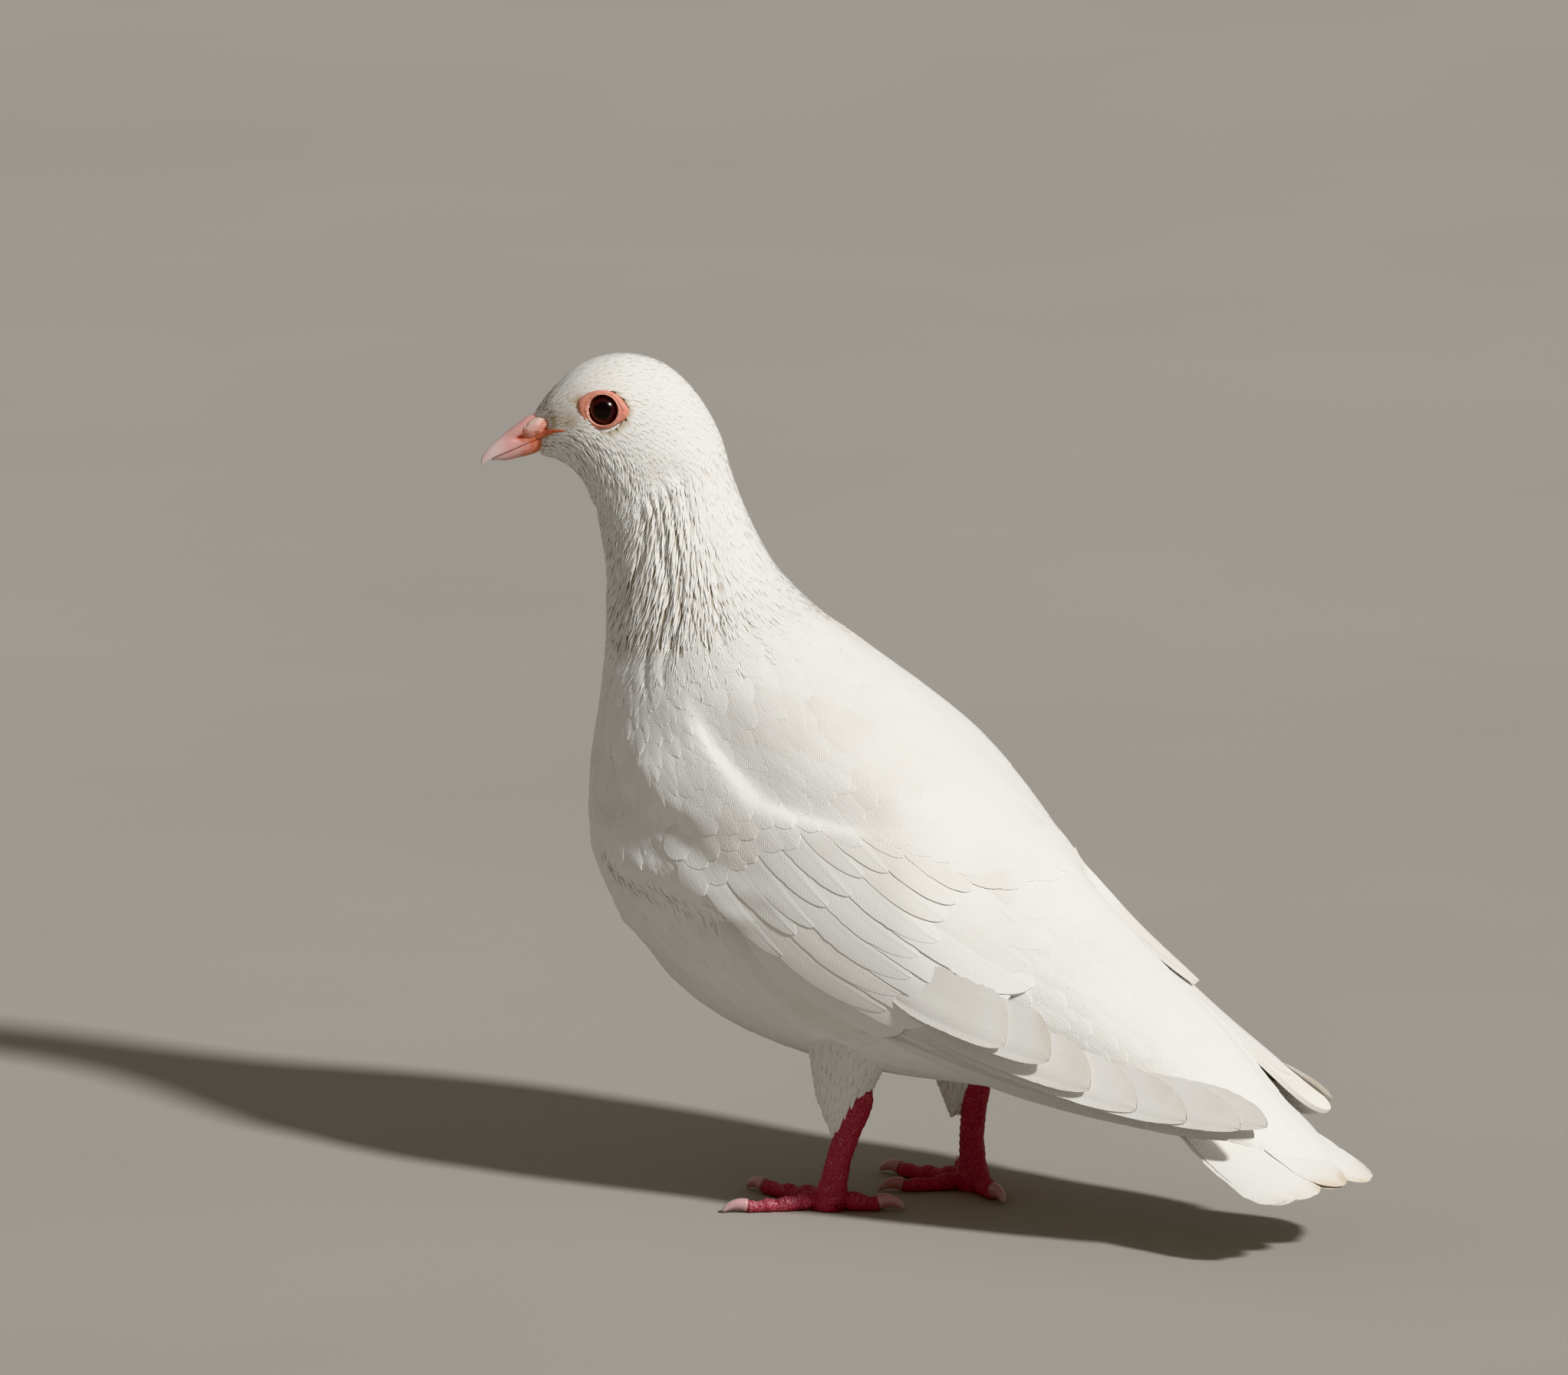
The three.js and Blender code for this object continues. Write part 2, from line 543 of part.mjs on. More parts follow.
function eyeBall(side, grow) {
  const ball = new THREE.SphereGeometry(EYE.ball + grow, 14, 9);
  ball.scale(EYE.iris / EYE.ball, EYE.iris / EYE.ball, 1);
  return solid(eyePlace(side, ball));
}

// The bare lid ring round the eye, an oval collar with a rounded lip.
function lidRing(side, grow) {
  const profile = [
    [EYE.iris + 0.35 - grow, 0.2 - grow], [EYE.iris + 0.3 - grow, 1.9 + grow],
    [EYE.iris + 0.75, 2.7 + grow], [EYE.iris + 1.5, 2.5 + grow],
    [EYE.lidHigh + grow, 1.5 + grow], [EYE.lidHigh + grow, 0.2 - grow],
  ];
  const rings = profile.map(([radius, out]) => Array.from({ length: LID_SIDES }, (_, j) => {
    const a = (2 * Math.PI * j) / LID_SIDES;
    const share = Math.max(radius - EYE.iris - 0.6, 0) / (EYE.lidHigh - EYE.iris - 0.6);
    const long = radius + (EYE.lidLong - EYE.lidHigh) * share;
    return new THREE.Vector3(long * Math.cos(a) - EYE.lidAhead * share, radius * Math.sin(a), out);
  }));
  const count = LID_SIDES;
  const points = rings.flat();
  const triangles = [];
  for (let i = 0; i < rings.length; i += 1) {
    for (let j = 0; j < count; j += 1) {
      const next = (i + 1) % rings.length;
      const [a, b] = [i * count + j, i * count + ((j + 1) % count)];
      const [c, d] = [next * count + j, next * count + ((j + 1) % count)];
      triangles.push([a, b, d], [a, d, c]);
    }
  }
  return solid(eyePlace(side, closedSurface(points, triangles)));
}

function lidSocket(side) {
  const ring = Array.from({ length: LID_SIDES }, (_, j) => (2 * Math.PI * j) / LID_SIDES);
  const disc = (out) => ring.map((a) => new THREE.Vector3(
    (EYE.lidLong + GAP) * Math.cos(a) - EYE.lidAhead, (EYE.lidHigh + GAP) * Math.sin(a), out));
  return solid(eyePlace(side, loft([disc(0.2 - GAP), disc(9)])));
}

function nostril(side) {
  const slit = new THREE.BoxGeometry(NOSTRIL.length, NOSTRIL.deep, NOSTRIL.height);
  slit.rotateY(rad(-NOSTRIL.tilt));
  slit.translate(NOSTRIL.x - NECK_X, side * NOSTRIL.out, NOSTRIL.z);
  slit.rotateZ(rad(HEAD_TURN));
  slit.translate(NECK_X, 0, 0);
  return solid(slit);
}

function headPieces() {
  const upper = billHalf(1, 0);
  const lower = billHalf(-1, 0);
  const cere = cereLobe(-1, 0).add(cereLobe(1, 0));
  const cereSpace = cereLobe(-1, GAP).add(cereLobe(1, GAP));
  let head = solid(bodyStretch(0, HEAD_END, 12, false));
  head = head.subtract(billHalf(1, GAP)).subtract(billHalf(-1, GAP)).subtract(cereSpace);
  for (const side of [-1, 1]) {
    head = head.subtract(lidSocket(side)).subtract(eyeBall(side, GAP));
  }
  addPiece('head', head, PLUMAGE);
  addPiece('bill_upper', upper.subtract(cereSpace).subtract(nostril(-1)).subtract(nostril(1)), SKIN_TONE.bill, 0.5);
  addPiece('bill_lower', lower, SKIN_TONE.bill, 0.5);
  addPiece('cere', cere, SKIN_TONE.cere, 0.7);
  for (const [name, side] of [['left', -1], ['right', 1]]) {
    addPiece(`eye_${name}`, eyeBall(side, 0), SKIN_TONE.eye, 0.1);
    addPiece(`eyelid_${name}`, lidRing(side, 0).subtract(eyeBall(side, GAP)), SKIN_TONE.lid, 0.7);
  }
}

// ---- legs ----------------------------------------------------------------------------------------

// A ring in the plane across a direction, with an optional floor that flattens its underside.
function tubeRing(centre, along, radius, count, floor = -Infinity, widen = 1) {
  const up = new THREE.Vector3(0, 0, 1);
  const flat = Math.abs(along.z) > 0.9 ? new THREE.Vector3(0, 1, 0) : along.clone().cross(up).normalize();
  const rise = flat.clone().cross(along).normalize();
  return Array.from({ length: count }, (_, j) => {
    const a = (2 * Math.PI * (j + 0.5)) / count;
    const p = centre.clone().addScaledVector(flat, widen * radius * Math.sin(a)).addScaledVector(rise, radius * Math.cos(a));
    p.z = Math.max(p.z, floor);
    return p;
  });
}

function toe(foot, { name, length, radius }, grow = 0) {
  const heading = rad(foot.heading[name]);
  const ahead = new THREE.Vector3(Math.cos(heading), Math.sin(heading), 0);
  const from = 1.5; // starts inside the pad
  const stations = 7;
  const knuckles = 3;
  const rings = [];
  for (let i = 0; i <= stations; i += 1) {
    const t = i / stations;
    const knuckle = 1 + 0.1 * Math.cos(2 * Math.PI * t * knuckles);
    const r = mix(radius * 1.1, radius * 0.72, t) * knuckle;
    const height = mix(3.4, r * 0.82, Math.min(t * 2.2, 1));
    const centre = new THREE.Vector3(foot.x, foot.y, height).addScaledVector(ahead, mix(from, length + PAD_RADIUS * 0.6, t));
    rings.push(tubeRing(centre, ahead, r + grow, 8, grow > 0 ? -1 : 0));
  }
  return { shape: solid(loft(rings)), ahead, reach: length + PAD_RADIUS * 0.6 };
}

function claw(foot, toeData, { radius, claw: length }) {
  const base = radius * 0.62;
  const rings = [];
  for (let i = 0; i <= 4; i += 1) {
    const t = i / 4;
    const bend = rad(mix(14, -40, t));
    const r = base * (1 - t) ** 0.8 + 0.18;
    const out = toeData.reach + GAP + (length * Math.sin(rad(CLAW_ARCH * t))) / Math.sin(rad(CLAW_ARCH));
    const height = Math.max(mix(radius * 0.8, 0.4, t ** 1.6), r + 0.08);
    const centre = new THREE.Vector3(foot.x, foot.y, height).addScaledVector(toeData.ahead, out);
    const along = toeData.ahead.clone().multiplyScalar(Math.cos(bend)).add(new THREE.Vector3(0, 0, Math.sin(bend)));
    rings.push(tubeRing(centre, i === 0 ? toeData.ahead : along, r, 6, 0.02));
  }
  return loft(rings);
}

function shank(foot, grow) {
  const base = new THREE.Vector3(foot.x, foot.y, 0);
  const ankle = vec(foot.ankle);
  const along = ankle.clone().sub(base).normalize();
  const profile = [
    { t: 0, r: PAD_RADIUS * 0.86 }, { t: 0.05, r: PAD_RADIUS }, { t: 0.13, r: PAD_RADIUS * 0.9 },
    { t: 0.24, r: SHANK_RADIUS * 1.12 }, { t: 0.45, r: SHANK_RADIUS }, { t: 0.75, r: SHANK_RADIUS * 1.02 },
    { t: 0.9, r: SHANK_RADIUS * 1.18 }, { t: 1.02, r: SHANK_RADIUS * 1.12 }, { t: 1.1, r: SHANK_RADIUS * 0.7 },
  ];
  const rings = profile.map(({ t, r }) => {
    const centre = base.clone().lerp(ankle, t);
    return tubeRing(centre, t < 0.1 ? new THREE.Vector3(0, 0, 1) : along, r + grow, 12, t < 0.1 ? centre.z : 0, 0.9);
  });
  if (grow > 0) {
    rings[0] = rings[0].map((p) => p.clone().setZ(-1));
    rings[rings.length - 1] = rings[rings.length - 1].map((p) => p.clone().addScaledVector(along, grow));
  }
  return solid(loft(rings));
}

// The feathered drumstick, which ends in a point of feathers over the front of the shank.
function thigh(foot) {
  const [ax, ay, az] = foot.ankle;
  const stations = [
    { x: ax - 2, z: az + 30, long: 17, wide: 12 },
    { x: ax - 4.6, z: az + 14, long: 13.6, wide: 10 },
    { x: ax - 5.6, z: az + 6, long: 11.4, wide: 8.4 },
    { x: ax - 6.6, z: az + 0.5, long: 9.4, wide: 7 },
    { x: ax - 7.6, z: az - 5, long: 5.4, wide: 4.6 },
    { x: ax - 9.4, z: az - 10.6, long: 1.4, wide: 1.4 },
  ];
  const rings = stations.map(({ x, z, long, wide }) => Array.from({ length: 16 }, (_, j) => {
    const a = (2 * Math.PI * j) / 16;
    return new THREE.Vector3(x + long * Math.cos(a), ay + wide * Math.sin(a), z + 0.15 * long * Math.cos(a));
  }));
  return solid(loft(rings));
}

function legPieces(torsoSpace) {
  for (const [name, foot] of Object.entries(FEET)) {
    const shankShape = shank(foot, 0);
    const shankSpace = shank(foot, GAP);
    addPiece(`shank_${name}`, shankShape, SKIN_TONE.leg, 0.6);
    addPiece(`thigh_${name}`, thigh(foot).subtract(torsoSpace).subtract(shankSpace), PLUMAGE);
    let taken = shankSpace;
    for (const row of TOES) {
      const toeData = toe(foot, row);
      addPiece(`${row.name}_${name}`, toeData.shape.subtract(taken), SKIN_TONE.leg, 0.6);
      addPiece(`${row.name.replace('toe', 'claw')}_${name}`, claw(foot, toeData, row), SKIN_TONE.claw, 0.4);
      taken = taken.add(toe(foot, row, GAP).shape);
    }
  }
}

// ---- the whole bird ------------------------------------------------------------------------------

const torsoSpace = solid(bodyStretch(NECK_END, TORSO_END, 19, false, GAP));

headPieces();
addPiece('neck', bodyStretch(HEAD_END, NECK_END, 7, true), PLUMAGE);
addPiece('torso', bodyStretch(NECK_END, TORSO_END, 19, true), PLUMAGE);
addPiece('tail', tail(torsoSpace), PLUMAGE);
addPiece('wing_left', wing(-1, torsoSpace), PLUMAGE);
addPiece('wing_right', wing(1, torsoSpace), PLUMAGE);
legPieces(torsoSpace);

// The middle of the whole bird's outline on the floor is the origin.
const reach = new THREE.Box3().setFromObject(bird);
const middle = reach.getCenter(new THREE.Vector3());
bird.position.set(-middle.x, -middle.y, 0);
bird.updateMatrixWorld(true);

export default bird;
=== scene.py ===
"""A standing white pigeon at life size: skin, feathers, bill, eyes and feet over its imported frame.

Sizes are millimetres on the bird's own axes: it looks along -X, its left side is -Y, up is +Z and
the ground is z = 0. The body's skin is addressed by a rib position, from the bill to the tail, and
by degrees round the body: 0 is the back, 90 the left side, 180 the front and belly.
"""

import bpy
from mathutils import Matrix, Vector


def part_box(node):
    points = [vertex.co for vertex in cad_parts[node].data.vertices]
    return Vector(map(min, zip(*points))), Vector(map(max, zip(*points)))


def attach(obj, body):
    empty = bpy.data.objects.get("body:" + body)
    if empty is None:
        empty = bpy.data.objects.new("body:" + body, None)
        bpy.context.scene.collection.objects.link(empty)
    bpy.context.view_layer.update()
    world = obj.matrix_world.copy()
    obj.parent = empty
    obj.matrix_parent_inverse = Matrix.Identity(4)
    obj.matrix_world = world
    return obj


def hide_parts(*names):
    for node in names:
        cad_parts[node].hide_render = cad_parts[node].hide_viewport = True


bl_info = {
    "name": "White Pigeon",
    "version": (1, 0, 0),
    "blender": (4, 5, 0),
    "location": "3D View > Sidebar > Pigeon",
    "description": "Builds the feathers, bill, eyes and feet of a standing white pigeon over its frame",
    "category": "Object",
}

import math

import bpy
import numpy as np
from bpy.props import FloatProperty, FloatVectorProperty, IntProperty, PointerProperty
from bpy.types import Operator, Panel, PropertyGroup
from mathutils import Vector

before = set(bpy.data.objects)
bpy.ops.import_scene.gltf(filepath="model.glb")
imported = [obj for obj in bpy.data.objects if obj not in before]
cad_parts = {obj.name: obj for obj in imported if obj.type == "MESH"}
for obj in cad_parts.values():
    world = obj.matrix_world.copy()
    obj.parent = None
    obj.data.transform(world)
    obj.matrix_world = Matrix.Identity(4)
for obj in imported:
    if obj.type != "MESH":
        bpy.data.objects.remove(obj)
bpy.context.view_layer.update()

# ---- driving dimensions, in millimetres ----

SIDES = {"left": -1, "right": 1}  # the sign of y on either side
HEAD_TURN = 31.0  # degrees that the head looks to the left of the body
NECK_X = -81.7  # the head turns about the upright line through this x

# Ribs from the bill to the end of the tail coverts: back x and z, front x and z, half the width,
# and the share of the head's turn.
RIBS = {
    "face": (-118.6, 223.2, -116.4, 211.4, 4.2, 1),
    "brow": (-112.4, 231.4, -111.4, 210.2, 8.4, 1),
    "forehead": (-103.3, 238.7, -106.5, 207.0, 12, 1),
    "crown": (-92.3, 241.4, -103.2, 203, 13.6, 1),
    "hind crown": (-80.8, 238.6, -101.4, 198.4, 14.2, 1),
    "nape": (-71.2, 230, -99.8, 193.6, 14.6, 1),
    "upper neck": (-64.2, 217.8, -98.4, 187.4, 15.2, 0.95),
    "neck": (-60.2, 205.2, -97.4, 179.5, 16.4, 0.8),
    "lower neck": (-54.5, 192.5, -97.2, 169, 18.6, 0.5),
    "neck root": (-46, 180.6, -97, 155, 22.6, 0.2),
    "shoulder": (-33, 171, -97.8, 138, 29, 0),
    "crop": (-19, 162.8, -99.6, 120, 36.5, 0),
    "breast": (-4, 153.6, -99, 102, 41.5, 0),
    "keel": (13.2, 141.2, -93, 84, 44.6, 0),
    "belly front": (29.4, 127.6, -81.4, 68.6, 45.8, 0),
    "belly": (46, 113.2, -62, 53, 45, 0),
    "loin": (61, 100, -36, 43.4, 41, 0),
    "rump": (76, 87, -5, 39, 37, 0),
    "vent": (92, 74, 30, 38.6, 33, 0),
    "tail coverts": (107.5, 61, 60, 38, 28.5, 0),
    "tail root": (118.5, 49.6, 86, 34.6, 24, 0),
    "coverts end": (130, 38.2, 105, 31, 18.5, 0),
}
LAST_RIB = len(RIBS) - 1

PUPIL_COLOUR = (0.004, 0.002, 0.003)
EYE = {"x": -97.7, "z": 226.8, "out": 10.6, "half_thick": 3.5, "radius": 4.3, "face_up": 4, "face_ahead": 8}
LID = {"long": 6.9, "high": 5.7, "ahead": 0.4}
# The lid from its inner rim outwards: share of the ring's width, and height.
LID_PROFILE = ((-0.06, 0.2), (-0.05, 1.3), (0.0, 2.25), (0.1, 2.75), (0.22, 2.6), (0.34, 2.35), (0.5, 2.45),
               (0.66, 2.3), (0.82, 1.95), (0.96, 1.45), (1.04, 0.7), (1.02, 0.2))
EYE_REACH = -6  # what lies further in than this, counted outwards from an eye, is on the head's other side
SOCKET_DEEP = 2.5

BILL_TIP = (-133.4, 209.4)  # x and z in the head's own profile
BILL_ROOT_X = -107.2
BILL_HALF = 4.3
CULMEN_HIGH = 7.2
MOUTH_RISE = 0.45
MOUTH_CORNER_Z = 219.4
HOOK = 3.1
LOWER_BILL = {"tip": 1.9, "swell": 4.7, "root": 4.3}
CERE_POWDER = (0.82, 0.66, 0.62)
CERE = {"x": -116.0, "z": 220.6, "out": 2.6, "length": 6.2, "height": 2.7, "half": 2.8, "tilt": 27}
NOSTRIL = {"x": -121.5, "z": 217.4, "tilt": 20}

# Primaries: where the innermost and outermost shafts start (x, z) and each tip as x, out and z.
HAND_ROOT_TOP = (14, 75)
HAND_ROOT_LOW = (8, 62)
HAND_TIPS = (
    (59.5, 42.5, 60.4), (72.4, 39.4, 56.6), (83.8, 36, 48.8), (97.5, 33, 43.8),
    (112.6, 30.6, 41.6), (128.7, 27.6, 40.7), (136.2, 25.2, 41.8), (131.6, 24.8, 38),
)
HAND_ROOT_OUT = 41.8
HAND_STACK = 0.2
HAND_BOW = (3.5, 0.5)
HAND_SAG = (2, 11)
PRIMARY_OUTER = 3
PRIMARY_INNER = (14, 9.5)
FAR_TIP_SHIFT = (-9, 2.4, -3.6)  # the right wing is folded a little lower than the left

# The far wing's top as it lies over the rump: control points of its inner line, of its outer edge as
# seen over the rump, and of the line on the wing's side where it meets the primaries.
FAR_INNER = ((58.6, 6.1, 101.5), (99.1, 1.5, 69.5), (128.7, 19.4, 35))
FAR_OUTER = ((60, 14.9, 105.2), (84, 20, 66.2), (129.8, 29, 36))
FAR_SIDE = ((56, 35, 86), (85, 36, 49), (125, 29, 31))

TAIL_TIP = (148.4, 23.8)
TAIL_ROOT = (88, 57)
# Tail vanes of each side from the middle outwards: how far out and down and how tilted each is at
# its tip, by how much it is shorter than the middle, how far out and down it is at its root, and how
# far its inner web bends down.
TAIL_VANES = {
    SIDES["left"]: (
        (6.1, 0, 0, -2.2, 2.5, 0, 0.1), (6.6, 0.9, 4, -1.5, 3.5, 0.9, 0.2),
        (18.6, 2.3, 22, 0.4, 9, 3.2, 3.2), (19.4, 2.9, 23, 1.2, 9.8, 4, 3.2),
        (24, 5.4, 24, 4.2, 14, 8, 0.6), (25.2, 6.3, 25, 6, 14.6, 9.2, 0.6),
    ),
    SIDES["right"]: (
        (7, 0.8, -3.4, -3, 2.2, 0.7, 0.1), (12, 2.1, 3, -1, 4.6, 1.5, 0.1),
        (16, 3.7, 5, 1, 6.8, 2.6, 0.1), (19, 4.9, 6.5, 3, 9, 3.9, 0.1),
        (22, 6.1, 8, 5, 12, 5.4, 0.1), (23.9, 6.8, 7.5, 7.5, 14.6, 7.1, 0.1),
    ),
}
RECTRIX_HALF = 9.8
TAIL_FLESH = (  # x and z of its middle, half width and half height
    (88, 52, 14, 8), (102, 44, 18, 7), (114, 37.6, 20, 4.6), (123, 33, 20, 3), (129, 30, 18, 1.4),
)

FEET = {
    "left": {
        "x": -11.7, "y": -21.9, "ankle": (1.6, -22, 33.6),
        "heading": {"toe1": 24, "toe2": 122, "toe3": 162, "toe4": 221},
    },
    "right": {
        "x": 11.2, "y": 22.2, "ankle": (15, 22, 33.6),
        "heading": {"toe1": -36, "toe2": 218, "toe3": 170, "toe4": 130},
    },
}
TOES = {  # length, radius, claw and knuckles
    "toe1": (12, 2.9, 7, 2),
    "toe2": (18, 2.4, 6.5, 2.6),
    "toe3": (25, 2.6, 7.5, 3.4),
    "toe4": (21, 2.3, 6.5, 4.2),
}
SHANK_RADIUS = 3.7
SHANK_BOW = 2.4  # how far the shank's middle lies before the straight line from foot to ankle
PAD_RADIUS = 5.6
SHANK_SCUTE = 0.38  # how far the broad scales stand out
TOE_SCUTE = 0.3
CLAW_ARCH = 80
# The feathered thigh: x before the ankle, z above it, and half its length and width.
THIGH = (
    (2, 30, 17, 12), (5.2, 14, 13, 9.8), (6.8, 6, 10.4, 8.1), (7.8, 0.5, 8.4, 6.6), (8.4, -5, 5.6, 4.8),
    (9.4, -12.6, 1.8, 1.8),
)

FLOOR_HALF = 14000
FLOOR_LEVEL = -0.2
VIEW_MIDDLE = (-44.1, 7.4, 145.3)  # the point at the middle of the view
KEY_WAY = (0.66, 0.6, 0.72)  # how far to the right, back and up the key light stands, as seen in the view
KEY_COLOUR = (1.0, 0.99, 0.97)
FILL_COLOUR = (1.0, 0.95, 0.88)
SENSOR = 36

# Outlines of vanes: width at the root, where it is full, where its tip starts, and how the tip rounds.
FORMS = {
    "lock": (0.5, 0.3, 0.25, 1.5, 1.0),
    "contour": (0.4, 0.55, 0.5, 2.0, 0.6),
    "loose": (0.4, 0.5, 0.35, 1.6, 0.8),
    "covert": (0.45, 0.5, 0.6, 2.2, 0.6),
    "flight": (0.4, 0.4, 0.76, 2.4, 0.6),
    "rectrix": (0.4, 0.7, 0.82, 2.1, 0.6),
    "primary": (0.12, 0.5, 0.82, 2.3, 0.55),
}
PATCH = 0.003  # size of one feather in the OFBake map
SHAFT = 0.16  # share of a vane's half width that its shaft takes up


# ---- small helpers ----


def mix(a, b, t):
    return a + (b - a) * t


def ease(x, low, high):
    """Rises smoothly from 0 at low to 1 at high."""
    t = np.clip((np.asarray(x, float) - low) / (high - low), 0, 1)
    return t * t * (3 - 2 * t)


def bell(x, centre, width):
    """1 at the centre, falling off on both sides."""
    return np.exp(-(((x - centre) / width) ** 2))


def turns(count, start=0):
    """Angles of count points spread evenly over a full turn, from start, which counts in points."""
    return (np.arange(count) + start) * 2 * math.pi / count


def vary(rng, spread, count):
    """Factors scattered evenly round 1."""
    return rng.uniform(1 - spread, 1 + spread, count)


def unit(vectors):
    return vectors / np.maximum(np.linalg.norm(vectors, axis=-1, keepdims=True), 1e-9)


def dot(a, b):
    return (a * b).sum(-1)


def lattice(i, j, seed):
    """A steady pseudo-random number in -1..1 for each whole pair i, j."""
    n = i.astype(np.int64) * 374761393 + j.astype(np.int64) * 668265263 + seed * 144665
    n = (n ^ (n >> 13)) * 1274126177
    return ((n ^ (n >> 16)) & 0xFFFF) / 32767.5 - 1


def noise(u, v, seed, period=None):
    """Smooth noise in -1..1; u repeats after period, if one is given."""
    u, v = np.broadcast_arrays(np.asarray(u, float), np.asarray(v, float))
    i, j = np.floor(u), np.floor(v)
    s, t = ease(u - i, 0, 1), ease(v - j, 0, 1)
    i0, i1 = (i % period, (i + 1) % period) if period else (i, i + 1)
    low = mix(lattice(i0, j, seed), lattice(i1, j, seed), s)
    high = mix(lattice(i0, j + 1, seed), lattice(i1, j + 1, seed), s)
    return mix(low, high, t)


def turned(points, share=1.0):
    """Points of the straight bird with the head's turn applied."""
    turn = np.radians(HEAD_TURN * np.asarray(share, float))
    x, y = points[..., 0] - NECK_X, points[..., 1]
    cos, sin = np.cos(turn), np.sin(turn)
    return np.stack([NECK_X + x * cos - y * sin, x * sin + y * cos, points[..., 2]], -1)


def eye_axes(side):
    """An eye's centre and its rearward, upward and outward directions; side is -1 for the left."""
    ahead, up = math.radians(EYE["face_ahead"]), math.radians(EYE["face_up"])
    out = np.array([-math.sin(ahead) * math.cos(up), side * math.cos(ahead) * math.cos(up), math.sin(up)])
    rear = np.array([math.cos(ahead), side * math.sin(ahead), 0.0])
    above = np.cross(rear, out) * side * -1
    centre = np.array([EYE["x"], side * EYE["out"], EYE["z"]])
    zero = turned(np.zeros(3))
    return (turned(centre), *(turned(v) - zero for v in (rear, above, out)))


def frame_origin():
    """Where the frame's origin lies on the bird's own axes, read from the left eye."""
    low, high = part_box("eye_left")
    return eye_axes(-1)[0] - np.array((low + high) / 2) * 1000


ORIGIN = frame_origin() * np.array([1, 1, 0])


def to_frame(points):
    """Points on the bird's own axes brought into the frame, in metres."""
    return (np.asarray(points, float) - ORIGIN) * 0.001


# ---- the body's skin ----

RIB_VALUES = np.array(list(RIBS.values()), float)
RIB_KNOTS = np.vstack([
    2 * RIB_VALUES[0] - RIB_VALUES[1], RIB_VALUES, 2 * RIB_VALUES[-1] - RIB_VALUES[-2],
])


def rib_at(at):
    """The six rib values at a rib position, on a smooth curve that runs on straight past both ends."""
    at = np.asarray(at, float)
    inside = np.clip(at, 0, LAST_RIB)
    i = np.minimum(np.floor(inside).astype(int), LAST_RIB - 1)
    t = (inside - i)[..., None]
    p0, p1, p2, p3 = (RIB_KNOTS[i + k] for k in range(4))
    linear, square, cubic = p2 - p0, 2 * p0 - 5 * p1 + 4 * p2 - p3, -p0 + 3 * p1 - 3 * p2 + p3
    value = 0.5 * (2 * p1 + (linear + (square + cubic * t) * t) * t)
    slope = 0.5 * (linear + (2 * square + 3 * cubic * t) * t)
    return value + slope * (at - inside)[..., None]


def body_form(at, degrees):
    """The plain outer form of the body, without folds."""
    at, degrees = np.broadcast_arrays(np.asarray(at, float), np.asarray(degrees, float))
    back_x, back_z, front_x, front_z, half, turn = np.moveaxis(rib_at(at), -1, 0)
    a = np.radians(degrees)
    reach = (1 + np.cos(a)) / 2
    points = np.stack([mix(front_x, back_x, reach), -half * np.sin(a), mix(front_z, back_z, reach)], -1)
    return turned(points, turn)


def body_normal(at, degrees):
    """The plain form's outward direction."""
    along = body_form(np.asarray(at) + 0.02, degrees) - body_form(np.asarray(at) - 0.02, degrees)
    around = body_form(at, np.asarray(degrees) + 1) - body_form(at, np.asarray(degrees) - 1)
    return unit(np.cross(around, along))


CREASE_AT = (11.0, 12.0, 12.5, 13.0, 13.3, 13.55, 13.85, 14.12, 14.6)
CREASE_DEGREES = (75, 72, 70, 68, 64, 60, 55, 49, 40)
FRINGE_AT = (12.5, 13.23, 13.68, 14.03, 14.58, 15.05, 15.68, 16.4)
FRINGE_DEGREES = (138, 122, 114, 110, 108, 106, 108, 112)
WING_HIGH = 3.8  # how far the folded wing stands over the plain form
FAR_RUMP_DROP = 1.9
CREASE_DEEP = 2.0
CREASE_RIDGE = 0.5


def crease(at):
    """Degrees from the back at which the scapulars end over the wing, on either side."""
    return np.interp(at, CREASE_AT, CREASE_DEGREES)


def folded(degrees):
    """Degrees brought to -180..180."""
    return (np.asarray(degrees, float) + 180) % 360 - 180


def fringe(at):
    """Degrees from the back at which the lit feathers of breast and flank end over the belly."""
    return np.interp(at, FRINGE_AT, FRINGE_DEGREES)


def wing_mound(at, angle):
    """How far the folded wing, and the flank's feathers before it, raise the outline, in millimetres."""
    rearward = ease(at, 13.5, 17)
    high_edge = ease(angle, mix(10, 46, rearward), mix(42, 84, rearward))
    forward = 1 - ease(at, 13.8, 15)
    low_edge = 1 - ease(angle, mix(mix(96, 102, rearward), fringe(at) - 9, forward),
                        mix(mix(108, 117, rearward), fringe(at) + 4, forward))
    height = WING_HIGH + 1.9 * rearward * ease(angle, 62, 98)
    return height * ease(at, 11.2, 13.4) * high_edge * low_edge


def ruffled(at, angle):
    """Share to which the neck is furrowed: smooth behind, crisp in front, and further round lower down."""
    return ease(angle, np.interp(at, (5, 7, 10), (58, 40, 26)), np.interp(at, (5, 7, 10), (98, 84, 66)))


def neck_furrows(at, degrees):
    """Grooves that run down the neck between the rows of hackles, and folds under the cheek."""
    region = ease(at, 5.2, 6.4) * (1 - ease(at, 9.8, 10.8)) * ruffled(at, np.abs(degrees))
    lean = 0.8 * noise((degrees + 180) / 30, at * 0.7, 11, 12)
    grooves = np.abs(noise((degrees + 180) / 9 + lean, at * 0.55 + 0.3, 12, 40))
    fold_at = np.interp(np.abs(degrees), (40, 90, 180), (6.5, 5.5, 4.6))
    fold = bell(at, fold_at, 0.34) * ease(np.abs(degrees), 45, 80)
    return -0.75 * region * (1 - ease(grooves, 0.0, 0.5)) - 0.7 * fold


